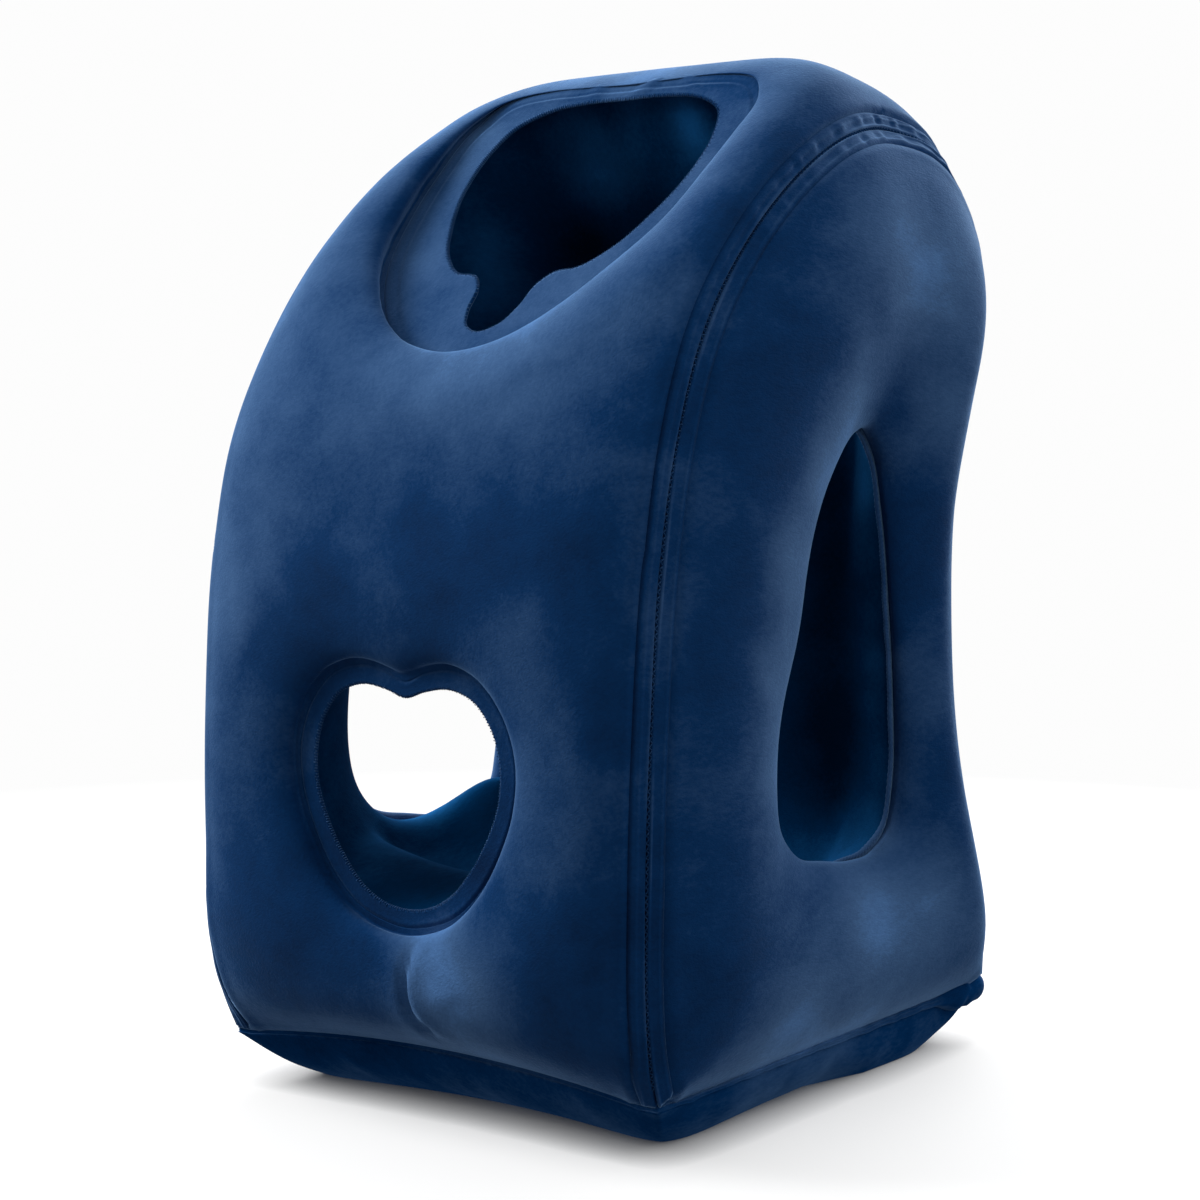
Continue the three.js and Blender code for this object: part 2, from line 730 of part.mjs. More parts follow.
// The pad under the base seam: it draws in and down to a flat footprint
function baseCushion() {
  const top = seamRectangle(0, BASE_THICKNESS).map(arched);
  const foot = rectangle(FOOT, 0);
  const waist = top.map((point, k) => {
    const between = foot[k].clone().lerp(point, BASE_WAIST.share);
    return between.setZ(BASE_WAIST.height);
  });
  const drawnIn = new THREE.Vector3(PAD_TOP_SHARE, PAD_TOP_SHARE, 1);
  const hollow = top.map((point) => point.clone().setZ(BASE_THICKNESS).multiply(drawnIn));
  const skin = new Skin();
  skin.fan(new THREE.Vector3(0, 0, BASE_THICKNESS), hollow, false);
  skin.patch([hollow, top, waist, foot], { ring: true });
  skin.fan(new THREE.Vector3(0, 0, 0), foot, true);
  return skin.geometry();
}

// The thin lap where base and body are welded, with a tab at each back corner
function baseFlange() {
  const middle = BASE_THICKNESS + CLEARANCE + FLANGE_THICKNESS / 2;
  const outside = seamRectangle(FLANGE.outside, middle).map(arched).map((point) => {
    const atSide = Math.abs(point.x) > BASE_HALF_WIDTH;
    const tab = atSide && point.y > BASE_HALF_DEPTH - FLANGE.tabLength;
    return tab ? point.setX(point.x + Math.sign(point.x) * FLANGE.tabOut) : point;
  });
  const inside = seamRectangle(-FLANGE.inside, middle).map(arched);
  return flatRing(outside, inside, new THREE.Vector3(0, 0, 1), FLANGE_THICKNESS);
}

// Seams

// The raised band along a side seam, from foot to foot. Its underside follows the skin from the
// gusset down to the seam and up on to the side panel.
function seamStrip(side) {
  const { toe, heart: front, face: slope, back } = skinStretches;
  const lengths = [...toe, ...front.slice(1), ...slope.slice(1), ...back.slice(1)];
  const rows = lengths.map((length) => {
    const seam = gusset.at(length);
    const angle = armOutline.angleOf(new THREE.Vector2(seam.y, seam.z));
    const weld = armOutline.pointAt(angle);
    const span = Math.hypot(seam.y - weld.x, seam.z - weld.y);
    const corner = new THREE.Vector3(side * seam.half, seam.y, seam.z);
    const onGusset = stripPoint(gusset, side * (1 - SEAM_STRIP.inward / seam.half), length);
    const share = 1 - SEAM_STRIP.inward / span;
    const onPanel = sidePoint(seam, angle, share, SIDE_BULGE, ARM.half + WELD_THICKNESS / 2, side);
    const across = onPanel.clone().sub(onGusset).normalize();
    const along = new THREE.Vector3(0, gusset.at(length + 1).y - gusset.at(length - 1).y,
      gusset.at(length + 1).z - gusset.at(length - 1).z).normalize();
    const lift = new THREE.Vector3().crossVectors(across, along).normalize();
    lift.multiplyScalar(Math.sign(lift.x) * side);
    const place = (from, height) => {
      const point = from.clone().addScaledVector(lift, SEAM_STRIP.gap + height);
      return point.setZ(Math.max(point.z, BODY_BOTTOM));
    };
    const topOf = (from) => place(corner.clone().lerp(from, SEAM_STRIP.topShare), SEAM_STRIP.thickness);
    return [place(onGusset, 0), place(corner, 0), place(onPanel, 0), topOf(onPanel), topOf(onGusset)];
  });
  const skin = new Skin();
  skin.patch(rows, { ring: true });
  for (const end of [rows[0], [...rows[rows.length - 1]].reverse()]) {
    const [first, second, third, fourth, fifth] = end;
    skin.face([second, third, fourth]);
    skin.face([second, fourth, fifth]);
    skin.face([second, fifth, first]);
  }
  return skin.geometry();
}

// The small tab where the gusset's own cross seam ends, in the middle of the top
function topTab() {
  const length = gusset.lengthAt("top");
  const out = outwardAt(gusset, length);
  const seat = stripPoint(gusset, 0, length);
  const rise = TOP_TAB.gap + TOP_TAB.height / 2;
  const geometry = new THREE.BoxGeometry(TOP_TAB.width, TOP_TAB.thickness, TOP_TAB.height);
  geometry.rotateX(Math.atan2(-out.x, out.y));
  geometry.translate(seat.x, seat.y + out.x * rise, seat.z + out.y * rise);
  return geometry;
}

// Assembly

const pillow = new THREE.Group();

function add(name, geometry, material) {
  const mesh = new THREE.Mesh(geometry, material);
  mesh.name = name;
  pillow.add(mesh);
}

add("air_body", airBody(), flockedSkin);
add("base_cushion", baseCushion(), flockedSkin);
add("base_flange", baseFlange(), weldedEdge);
add("face_collar", collar(face, faceAngles), flockedSkin);
add("heart_collar", collar(heart, heartAngles), flockedSkin);
add("arm_rim_left", armRim(-1), weldedEdge);
add("arm_rim_right", armRim(1), weldedEdge);
add("seam_strip_left", seamStrip(-1), weldedEdge);
add("seam_strip_right", seamStrip(1), weldedEdge);
add("top_tab", topTab(), weldedEdge);

export default pillow;
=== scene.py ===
"""A lean-forward neck pillow in navy flock, blown up and standing on its base.

Every shape is worked out in millimetres from tables of named places, and becomes metres in mesh().
The pillow's front looks along -Y. A gusset runs up the front, over the top and down the back between
two side panels, and a lining makes the hollow inside. A side is -1 on the left, as the front is
seen, and 1 on the right.
"""

import math

import bmesh
import bpy
import numpy as np
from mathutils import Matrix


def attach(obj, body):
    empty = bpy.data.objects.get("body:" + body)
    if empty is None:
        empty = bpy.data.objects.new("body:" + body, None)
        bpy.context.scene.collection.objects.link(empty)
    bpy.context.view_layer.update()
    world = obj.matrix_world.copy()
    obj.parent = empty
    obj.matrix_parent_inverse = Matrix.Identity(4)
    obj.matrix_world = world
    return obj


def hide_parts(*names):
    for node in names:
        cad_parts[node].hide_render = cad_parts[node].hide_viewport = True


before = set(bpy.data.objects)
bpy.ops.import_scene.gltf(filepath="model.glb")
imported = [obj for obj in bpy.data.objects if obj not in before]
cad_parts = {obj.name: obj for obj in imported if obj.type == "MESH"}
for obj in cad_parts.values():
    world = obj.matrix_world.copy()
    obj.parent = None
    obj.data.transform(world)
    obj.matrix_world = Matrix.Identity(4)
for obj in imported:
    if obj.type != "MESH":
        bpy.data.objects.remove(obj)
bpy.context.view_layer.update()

MM = 0.001

# Sizes shared with the CAD part. The arch lifts the base seam at the front and back, and the ledge is
# the flat strip beside an opening's weld.

BASE_THICKNESS = 27.1
BODY_BOTTOM = 29.3
LAP_MIDDLE = 28.2
BASE_HALF_WIDTH = 135.0
BASE_HALF_DEPTH = 160.0
ARCH_RISE = 9
ARCH_HALF_WIDTH = 125
ARCH_FADE = 50
WELD_HALF = 1.0
LEDGE = 4.0

# The gusset's side seam from the front foot over the top to the back foot: y, z, distance from the
# middle plane, how proud the gusset stands at the middle, how squarely it does so, and how softly it
# meets the seam, where 1 is a slope and 0.5 a round edge
GUSSET = {
    "front foot": (-160, 29.3, 135, 0, 3.4, 0.8),
    "toe": (-168, 50, 136.5, 14, 3.4, 0.6),
    "shin": (-174, 84, 138, 22.5, 3.4, 0.5),
    "heart": (-174, 137, 138, 27, 3.4, 0.48),
    "belly": (-172, 201, 138.5, 29, 3.4, 0.48),
    "chest": (-164, 285, 139, 29, 3.4, 0.48),
    "chin": (-152, 335, 138.5, 29, 3.6, 0.48),
    "brow": (-122, 393.5, 135.5, 29, 4.2, 0.5),
    "cheek": (-80, 440, 134.5, 32.5, 5, 0.5),
    "slope": (-33, 475, 135, 40, 5.6, 0.55),
    "rise": (19, 498, 132.5, 46, 5.6, 0.6),
    "top": (71, 506, 126, 41, 5.6, 0.7),
    "nape": (123, 496.5, 129.5, 36.5, 5, 0.85),
    "shoulder": (151, 458.5, 134, 32, 4.2, 1),
    "back": (137, 397, 133.5, 29.5, 3.6, 1),
    "waist": (119, 315, 134.5, 28, 3.4, 1),
    "small": (117.5, 242, 136.5, 28, 3.4, 1),
    "hip": (125, 164, 136.5, 28, 3.4, 1),
    "seat": (142, 102, 135, 23, 3.4, 1),
    "heel": (155, 55, 135, 13, 3.4, 1),
    "back foot": (160, 29.3, 135, 0, 3.4, 1),
}

# The lining's corner line round the hollow. Its crown bulges into the hollow.
LINING = {
    "front low": (-112, 125, 100, -10, 2.5, 1),
    "front": (-116, 200, 102, -12, 2.5, 1),
    "front high": (-108, 275, 106, -12, 2.5, 1),
    "brow": (-80, 345, 114, -10, 2.5, 1),
    "slope": (-25, 405, 116, -8, 2.5, 1),
    "rise": (35, 440, 116, -8, 2.5, 1),
    "nape": (88, 425, 112, -8, 2.5, 1),
    "shoulder": (102, 370, 104, -10, 2.5, 1),
    "back": (92, 290, 100, -12, 2.5, 1),
    "small": (86, 200, 100, -12, 2.5, 1),
    "hip": (90, 130, 98, -10, 2.5, 1),
    "floor back": (72, 92, 96, -6, 2.5, 1),
    "floor": (0, 88, 94, -6, 2.5, 1),
    "floor front": (-88, 92, 96, -6, 2.5, 1),
}

# Right halves of the openings' outlines, from the middle of the top: across, and up along the plane
HEART_WELD = [(0, 224), (12, 228.5), (26, 231), (46, 226), (61, 211), (69, 190), (68, 168),
              (60, 146), (46, 124), (30, 110), (14, 104), (0, 102)]
HEART_CUT = [(0, 215.5), (12, 219), (27, 221), (42, 216), (53, 203), (58, 186), (57, 168),
             (50, 150), (40, 134), (28, 121), (14, 113.5), (0, 111.5)]
FACE_WELD = [(0, 389), (30, 390), (60, 389), (84, 382), (97, 362), (101, 325), (99, 285),
             (90, 243), (75, 215), (54, 189), (28, 171), (0, 165)]
FACE_CUT = [(0, 377), (24, 377), (50, 372), (66, 360), (73, 338), (73, 310), (64, 276),
            (52, 252), (38, 239), (25, 236), (19, 228), (16, 211), (10, 198), (0, 193)]

# The arm opening seen from the side, y and z, and the middle that it is read round
ARM_MIDDLE = (-6, 235)
ARM_HALF = 130.0
ARM_OUTLINE = [(-15, 119), (16, 117), (44, 120), (64, 131), (73, 157), (73, 200), (67, 255),
               (58, 305), (47, 336), (31, 350), (6, 346), (-24, 323), (-52, 286), (-74, 236),
               (-85, 185), (-76, 145), (-50, 124)]


# Simple curves that the shapes are made of

def held(t):
    """A share held between 0 and 1."""
    return np.clip(t, 0, 1)


def eased(t):
    """A held share that starts and ends gently: three times its square less twice its cube."""
    t = held(t)
    return t * t * (3 - 2 * t)


def round_rise(t):
    """A quarter-round rise from 0 to 1, upright where it starts."""
    return np.sqrt(1 - (1 - held(t)) ** 2)


def dome(t):
    """A rise that is 1 where t is 0 and ends where t is 1: one less its square, and that squared."""
    return held(1 - np.asarray(t) ** 2) ** 2


def hump(t, width):
    """A soft ridge of height 1 where t is 0, a bell curve down to about a third at the width."""
    return np.exp(-((t / width) ** 2))


def ripples(lengths, pitch, seed):
    """Uneven waves along a seam, about one each pitch, from three sines out of step."""
    turn = 2 * math.pi * lengths / pitch + 1.3 * np.sin(lengths / 17 + seed)
    return 0.6 * np.sin(turn) + 0.3 * np.sin(0.53 * turn + seed) + 0.25 * np.sin(1.7 * turn + 2 * seed)


def unit(vectors):
    """Vectors made 1 long."""
    return vectors / np.linalg.norm(vectors, axis=-1, keepdims=True)


def angles_round(count):
    """Angles once round, evenly apart."""
    return np.linspace(-math.pi, math.pi, count + 1)[:-1]


# Curves through rows

class RowCurve:
    """A smooth curve through rows of numbers, read by the length along it.

    Each column is a cubic between rows. Its slope at a row is the mean of the slopes on both sides,
    weighed by the span on the other side.
    """

    def __init__(self, rows, closed):
        self.names = list(rows) if isinstance(rows, dict) else []
        values = np.array(list(rows.values()) if self.names else rows, float)
        if closed:
            values = np.vstack([values, values[:1]])
        self.closed = closed
        self.rows = values
        self.knots = np.r_[0, np.cumsum(np.hypot(*np.diff(values[:, :2], axis=0).T))]
        self.length = self.knots[-1]
        span = np.diff(self.knots)[:, None]
        steep = np.diff(values, axis=0) / span
        slopes = np.empty_like(values)
        slopes[1:-1] = (steep[:-1] * span[1:] + steep[1:] * span[:-1]) / (span[:-1] + span[1:])
        if closed:
            slopes[0] = (steep[-1] * span[0] + steep[0] * span[-1]) / (span[0] + span[-1])
            slopes[-1] = slopes[0]
        else:
            slopes[0] = 1.5 * steep[0] - 0.5 * slopes[1]
            slopes[-1] = 1.5 * steep[-1] - 0.5 * slopes[-2]
        self.slopes = slopes

    def length_at(self, name):
        """The length at which a named row lies."""
        return self.knots[self.names.index(name)]

    def at(self, length):
        """The columns' values at lengths along the curve."""
        length = np.asarray(length, float)
        length = np.mod(length, self.length) if self.closed else np.clip(length, 0, self.length)
        i = np.clip(np.searchsorted(self.knots, length, side="right") - 1, 0, len(self.knots) - 2)
        span = (self.knots[i + 1] - self.knots[i])[..., None]
        t = (length - self.knots[i])[..., None] / span
        return (
            (2 * t**3 - 3 * t**2 + 1) * self.rows[i]
            + (t**3 - 2 * t**2 + t) * span * self.slopes[i]
            + (3 * t**2 - 2 * t**3) * self.rows[i + 1]
            + (t**3 - t**2) * span * self.slopes[i + 1]
        )


def outward_at(curve, length):
    """The unit direction square to the curve that points out of the pillow, as y and z."""
    turn = curve.at(np.asarray(length) - 0.5)[..., :2] - curve.at(np.asarray(length) + 0.5)[..., :2]
    return unit(np.stack([turn[..., 1], -turn[..., 0]], -1))


def arched(points):
    """Lifts points with the base seam's arch, highest in the middle of the front and back. It falls
    with the square of the distance from there, and fades out above the seam and below it."""
    x, y, z = np.moveaxis(points, -1, 0)
    across = np.maximum(0, 1 - (x / ARCH_HALF_WIDTH) ** 2)
    edge = np.minimum(1, np.abs(y) / BASE_HALF_DEPTH) ** 6
    above = np.maximum(0, 1 - np.maximum(0, z - BODY_BOTTOM) / ARCH_FADE)
    below = np.minimum(1, z / BASE_THICKNESS)
    return np.stack([x, y, z + ARCH_RISE * across * edge * above * below], -1)


def strip_point(curve, u, length):
    """A point of the gusset or lining. u runs from -1 at the left seam to 1 at the right one.

    The strip stands proud of its seams by its crown, times one less |u| to the fullness, and that
    to the power of its softness.
    """
    u, length = np.broadcast_arrays(np.asarray(u, float), np.asarray(length, float))
    y, z, half, crown, fullness, softness = np.moveaxis(curve.at(length), -1, 0)
    out = outward_at(curve, length)
    proud = crown * (1 - np.minimum(1, np.abs(u)) ** fullness) ** softness
    return arched(np.stack([half * u, y + out[..., 0] * proud, z + out[..., 1] * proud], -1))


# Openings. Distances to many points are measured for some of them at once.

OUTLINE_POINTS = 720
MEASURED_AT_ONCE = 4000
HALVINGS = 40
SEARCH_SLACK = 40.0


class Outline:
    """A closed outline that is read by its angle round a middle point."""

    def __init__(self, rows, middle):
        curve = RowCurve(rows, closed=True)
        self.middle = np.array(middle, float)
        self.points = curve.at(np.linspace(0, curve.length, OUTLINE_POINTS + 1)[:-1])[:, :2]
        arms = self.points - self.middle
        angles = np.arctan2(arms[:, 1], arms[:, 0])
        order = np.argsort(angles)
        self.angles = angles[order]
        self.radii = np.hypot(*arms[order].T)

    def angle_of(self, flat):
        """The angles at which points of the plane lie."""
        return np.arctan2(flat[..., 1] - self.middle[1], flat[..., 0] - self.middle[0])

    def point_at(self, angle, inset=0.0):
        """The outline's points at angles, moved in towards the middle by an inset."""
        radius = np.interp(angle, self.angles, self.radii, period=2 * math.pi) - inset
        return self.middle + np.stack([radius * np.cos(angle), radius * np.sin(angle)], -1)

    def distance_to(self, flat):
        """How far points of the plane are from the outline."""
        return nearest(flat.reshape(-1, 2), self.points)[0].reshape(flat.shape[:-1])


def nearest(points, line):
    """The distance from each point to a closely set line of points, and which of them is nearest."""
    away = np.empty(len(points))
    which = np.empty(len(points), int)
    for first in range(0, len(points), MEASURED_AT_ONCE):
        some = slice(first, first + MEASURED_AT_ONCE)
        block = points[some]
        squares = (block**2).sum(1)[:, None] + (line**2).sum(1)[None] - 2 * block @ line.T
        found = squares.argmin(1)
        which[some] = found
        away[some] = np.linalg.norm(block - line[found], axis=1)
    return away, which


def both_halves(half):
    """A whole outline from its right half, which starts and ends in the middle."""
    return half + [(-x, height) for x, height in reversed(half) if x > 0]


class Opening:
    """The plane of an opening in the gusset. tilt leans it back, offset is its distance from the
    origin, and middle the height that its outlines are read round. The skin dips to it within reach,
    the lining within lining_reach, and roll is how far the skin leans over it on the way up."""

    def __init__(self, tilt, offset, middle, reach, lining_reach, roll, weld, cut):
        lean = math.radians(tilt)
        self.normal = np.array([0, -math.cos(lean), math.sin(lean)])
        self.up = np.array([0, math.sin(lean), math.cos(lean)])
        self.offset = offset
        self.reach = reach
        self.lining_reach = lining_reach
        self.roll = roll
        self.weld = Outline(both_halves(weld), (0, middle))
        self.cut = Outline(both_halves(cut), (0, middle))

    def flatten(self, points):
        """Where points lie in the plane, as across and up."""
        return np.stack([points[..., 0], points @ self.up], -1)

    def lift(self, flat, above):
        """Points of the plane as points in space, at a height above it."""
        above = np.broadcast_to(above, flat.shape[:-1])
        return (
            flat[..., :1] * np.array([1.0, 0, 0])
            + flat[..., 1:] * self.up
            + (self.offset + above)[..., None] * self.normal
        )


heart = Opening(tilt=0, offset=180, middle=168, reach=62, lining_reach=45, roll=8,
                weld=HEART_WELD, cut=HEART_CUT)
face = Opening(tilt=45, offset=366, middle=300, reach=40, lining_reach=60, roll=18,
               weld=FACE_WELD, cut=FACE_CUT)
arm = Outline(ARM_OUTLINE, ARM_MIDDLE)
gusset = RowCurve(GUSSET, closed=False)
lining = RowCurve(LINING, closed=True)


def behind(curve, opening, flat, run):
    """The u and length on a strip that lie behind points of an opening's plane. They are found by
    halving, from a little before a run of the strip to a little past it."""
    low = np.full(len(flat), run[0] - SEARCH_SLACK)
    high = np.full(len(flat), run[-1] + SEARCH_SLACK)
    for _ in range(HALVINGS):
        middle = (low + high) / 2
        u = flat[:, 0] / curve.at(middle)[:, 2]
        under = strip_point(curve, u, middle) @ opening.up < flat[:, 1]
        low = np.where(under, middle, low)
        high = np.where(under, high, middle)
    middle = (low + high) / 2
    return np.stack([flat[:, 0] / curve.at(middle)[:, 2], middle], -1)


def dipped(curve, opening, starts, ends, share, reach, weld_height):
    """Points between the weld and a stretch's border: u and length run straight from one to the
    other, and the strip dips to the opening's plane with a quarter-round rise over the reach. On
    the way up it rolls towards the opening's middle."""
    place = starts + (ends - starts) * share[..., None]
    point = strip_point(curve, place[..., 0], place[..., 1])
    above = point @ opening.normal - opening.offset - weld_height
    flat = opening.flatten(point)
    risen = held((opening.weld.distance_to(flat) - LEDGE) / (reach - LEDGE))
    dip = (1 - round_rise(risen)) * (1 - share**4)
    roll = opening.roll if curve is gusset else 0.0
    over = roll * np.sin(math.pi * risen**0.6) * (1 - risen) ** 1.5 * (1 - share**4)
    inward = unit(opening.weld.middle - flat) * over[..., None]
    across = inward[..., :1] * np.array([1.0, 0, 0]) + inward[..., 1:] * opening.up
    return point - opening.normal * (above * dip)[..., None] + across


# How a side panel bulges: its rise as a share of the span, the most it can rise, how far it rolls over
# the weld, and how far out the weld lies
SKIN_WALL = (0.44, 41, 44, ARM_HALF + WELD_HALF)
LINING_WALL = (-0.7, 28, 0, ARM_HALF - WELD_HALF)


def side_wall(corners, angles, share, wall, side):
    """Points of a side panel between the arm weld and the corner line.

    The wall bulges square to the line from weld to corner, by a quarter-round rise that falls away
    as one less a power of the share, and rolls over the weld. It rolls most at the front, and falls
    latest at the back.
    """
    rise, most, roll, weld_half = wall
    weld = arm.point_at(angles)
    roll = roll * (0.2 + 0.8 * (0.5 - 0.5 * np.cos(angles)) ** 2)
    fall = 3.75 + 1.25 * np.cos(angles)
    across = corners[:, 1:] - weld
    span = np.hypot(*across.T)
    out = corners[:, 0] - weld_half
    slant = np.hypot(span, out)
    lift = most * np.tanh(span * rise / most) * round_rise(share) * (1 - share**fall)
    over = roll * np.tanh(span / 60) * np.sin(math.pi * share**0.45) * (1 - share) ** 1.5
    along = share + (-lift * out / slant - over) / span
    flat = weld + across * along[..., None]
    x = side * (weld_half + out * share + lift * span / slant)
    return np.concatenate([x[..., None], flat], -1)


# Meshes

class Shell:
    """Gathers grids of points, whose shared borders are joined when it becomes a mesh. Each point has a
    mark, which tells later steps what it belongs to or how much painted light or shade its colour takes."""

    def __init__(self):
        self.points = []
        self.faces = []
        self.marks = []
        self.count = 0

    def add(self, points, faces, marks):
        """Adds points and the faces between them, which count the points from 0."""
        self.points.append(points)
        self.faces.append(faces + self.count)
        self.marks.append(marks)
        self.count += len(points)

    def grid(self, points, ring=False, loop=False, mark=0.0):
        """Adds a grid. A ring's rows close on themselves, and a loop's columns do as well."""
        rows, columns = points.shape[:2]
        index = np.arange(rows * columns).reshape(rows, columns)
        if ring or loop:
            index = np.hstack([index, index[:, :1]])
        if loop:
            index = np.vstack([index, index[:1]])
        corners = [index[:-1, :-1], index[1:, :-1], index[1:, 1:], index[:-1, 1:]]
        marks = np.broadcast_to(mark, points.shape[:2]).ravel()
        self.add(points.reshape(-1, 3), np.stack(corners, -1).reshape(-1, 4), marks)

    def fan(self, ring):
        """Closes a ring of points with rows that shrink to its middle."""
        middle = ring.mean(0)
        shares = np.linspace(1, 0, 9)[:, None, None]
        self.grid(middle + (ring - middle) * shares, ring=True)

    def mesh(self, name, material, joined=0.02):
        """The mesh object in metres, its doubles joined and its faces pointing out."""
        data = bpy.data.meshes.new(name)
        data.from_pydata(np.vstack(self.points) * MM, [], np.vstack(self.faces).tolist())
        layer = data.attributes.new("mark", "FLOAT", "POINT")
        layer.data.foreach_set("value", np.concatenate(self.marks).astype(np.float32))
        work = bmesh.new()
        work.from_mesh(data)
        bmesh.ops.remove_doubles(work, verts=work.verts, dist=joined * MM)
        bmesh.ops.recalc_face_normals(work, faces=work.faces)
        work.to_mesh(data)
        work.free()
        data.shade_smooth()
        data.materials.append(material)
        piece = bpy.data.objects.new(name, data)
        bpy.context.scene.collection.objects.link(piece)
        return piece


def read(piece):
    """A piece's points in millimetres, and its point normals."""
    data = piece.data
    points = np.empty(len(data.vertices) * 3)
    normals = np.empty(len(data.vertices) * 3)
    data.vertices.foreach_get("co", points)
    data.vertices.foreach_get("normal", normals)
    return points.reshape(-1, 3) / MM, normals.reshape(-1, 3)


def write(piece, points):
    """Moves a piece's points to places in millimetres."""
    piece.data.vertices.foreach_set("co", (points * MM).ravel())
    piece.data.update()


def marks(piece):
    """Each point's mark."""
    values = np.empty(len(piece.data.vertices), np.float32)
    piece.data.attributes["mark"].data.foreach_get("value", values)
    return values


def paint(piece, name, values):
    """Stores a number for each point, for the materials."""
    layer = piece.data.attributes.new(name, "FLOAT", "POINT")
    layer.data.foreach_set("value", np.asarray(values, np.float32))


def sided(name, side):
    """A piece's name with its side."""
    return name + ("_right" if side > 0 else "_left")


# The blown-up body. Its columns stand closer together towards the seams.

STEP = 4.6
EVEN = np.linspace(-1, 1, 73)
COLUMNS = EVEN * (1.35 - 0.35 * EVEN**2)
SKIN_RINGS = 44
LINING_RINGS = 12
FLOOR_STEPS = 70


def crowded(count):
    """Shares from 0 to 1 that crowd together at both ends."""
    a = np.linspace(0, 1, count + 1)
    return a**1.6 / (a**1.6 + (1 - a) ** 1.4)


def stretch(curve, first, last, count=None):
    """Lengths along a curve from one named place to the next, in even steps."""
    low = curve.length_at(first)
    high = curve.length_at(last) if last else curve.length
    return np.linspace(low, high, (count or round((high - low) / STEP)) + 1)


toe_run = stretch(gusset, "front foot", "toe")
heart_run = stretch(gusset, "toe", "chest")
face_run = stretch(gusset, "chest", "top")
back_run = stretch(gusset, "top", None)
floor_run = np.linspace(BASE_HALF_DEPTH, -BASE_HALF_DEPTH, FLOOR_STEPS + 1)
lining_heart_run = stretch(lining, "front low", "front high", len(heart_run) - 1)
lining_face_run = stretch(lining, "front high", "nape", len(face_run) - 1)
lining_rest_run = stretch(lining, "nape", None, len(back_run) + len(floor_run) + len(toe_run) - 3)


def border(run):
    """A stretch's border once round, as u and length."""
    left, right = np.full(len(run) - 1, -1.0), np.full(len(run) - 1, 1.0)
    low, high = np.full(len(COLUMNS) - 1, run[0]), np.full(len(COLUMNS) - 1, run[-1])
    u = np.r_[COLUMNS[:-1], right, COLUMNS[::-1][:-1], left]
    length = np.r_[low, run[:-1], high, run[::-1][:-1]]
    return np.stack([u, length], -1)


def facing_angles(opening, edge):
    """The angles at which an opening's weld faces places on the gusset, given as u and length."""
    return opening.weld.angle_of(opening.flatten(strip_point(gusset, edge[:, 0], edge[:, 1])))


def seam_line(curve, run):
    """Corner points of a run as distance from the middle plane, y and z."""
    return curve.at(run)[:, [2, 0, 1]]


def corner_loops():
    """The outside corner line once round, and the lining's, with as many points."""
    along = floor_run[:-1]
    level = np.full_like(along, BODY_BOTTOM)
    floor = np.stack([np.full_like(along, BASE_HALF_WIDTH), along, level], -1)
    runs = [seam_line(gusset, run[:-1]) for run in (heart_run, face_run, back_run)]
    outer = np.vstack([*runs, floor, seam_line(gusset, toe_run[:-1])])
    inner_runs = (lining_heart_run, lining_face_run, lining_rest_run)
    inner = np.vstack([seam_line(lining, run[:-1]) for run in inner_runs])
    return outer, inner


def air_body(material):
    """Skin and lining as one closed shell that meets itself at the four welds."""
    shell = Shell()
    for run in (toe_run, back_run):
        shell.grid(strip_point(gusset, COLUMNS[:, None], run[None]))
    shell.grid(strip_point(lining, COLUMNS[:, None], lining_rest_run[None]), mark=1.0)
    for opening, run, inner_run in (
        (heart, heart_run, lining_heart_run),
        (face, face_run, lining_face_run),
    ):
        weld = opening.weld.point_at(facing_angles(opening, border(run)))
        for curve, lengths, reach, height, rings in (
            (gusset, run, opening.reach, WELD_HALF, SKIN_RINGS),
            (lining, inner_run, opening.lining_reach, -WELD_HALF, LINING_RINGS),
        ):
            starts = behind(curve, opening, weld, lengths)
            share = crowded(rings)[1:, None]
            points = dipped(curve, opening, starts, border(lengths), share, reach, height)
            points = np.concatenate([opening.lift(weld, height)[None], points])
            shell.grid(points, ring=True, mark=float(curve is lining))
        edge = [opening.lift(weld, height) for height in (-WELD_HALF, WELD_HALF)]
        shell.grid(np.stack(edge), ring=True)
    outer, inner = corner_loops()
    angles = arm.angle_of(outer[:, 1:])
    for side in (-1, 1):
        outside = side_wall(outer, angles, crowded(SKIN_RINGS)[:, None], SKIN_WALL, side)
        inside = side_wall(inner, angles, crowded(LINING_RINGS)[:, None], LINING_WALL, side)
        shell.grid(outside, ring=True)
        shell.grid(inside, ring=True, mark=1.0)
        shell.grid(np.stack([inside[0], outside[0]]), ring=True)
    across, along = np.meshgrid(COLUMNS * BASE_HALF_WIDTH, floor_run, indexing="ij")
    shell.grid(arched(np.stack([across, along, np.full_like(across, BODY_BOTTOM)], -1)))
    return shell.mesh("pillow_body", material)


# Seams: a flat pressed band along each side seam, with a stitched groove down its middle

BAND_HALF = 10.5
BAND_STEP = 1.7
BAND_ACROSS = np.linspace(-BAND_HALF, BAND_HALF, 43)
BAND_MIDDLE = len(BAND_ACROSS) // 2
BAND_DEPTH = 3.2
MEASURED_REACH = 16
MEASURED_APART = 1000.0
BRIDGING_ROUNDS = 40
STITCH_MARGIN = 6
band_run = np.linspace(0, gusset.length, round(gusset.length / BAND_STEP) + 1)


def beside_on_gusset(side, run, away):
    """Gusset points that lie away millimetres in from the seam, along a fine run of the seam."""
    half = gusset.at(run)[:, 2]
    return strip_point(gusset, side * (1 - away[:, None] / half), run[None])


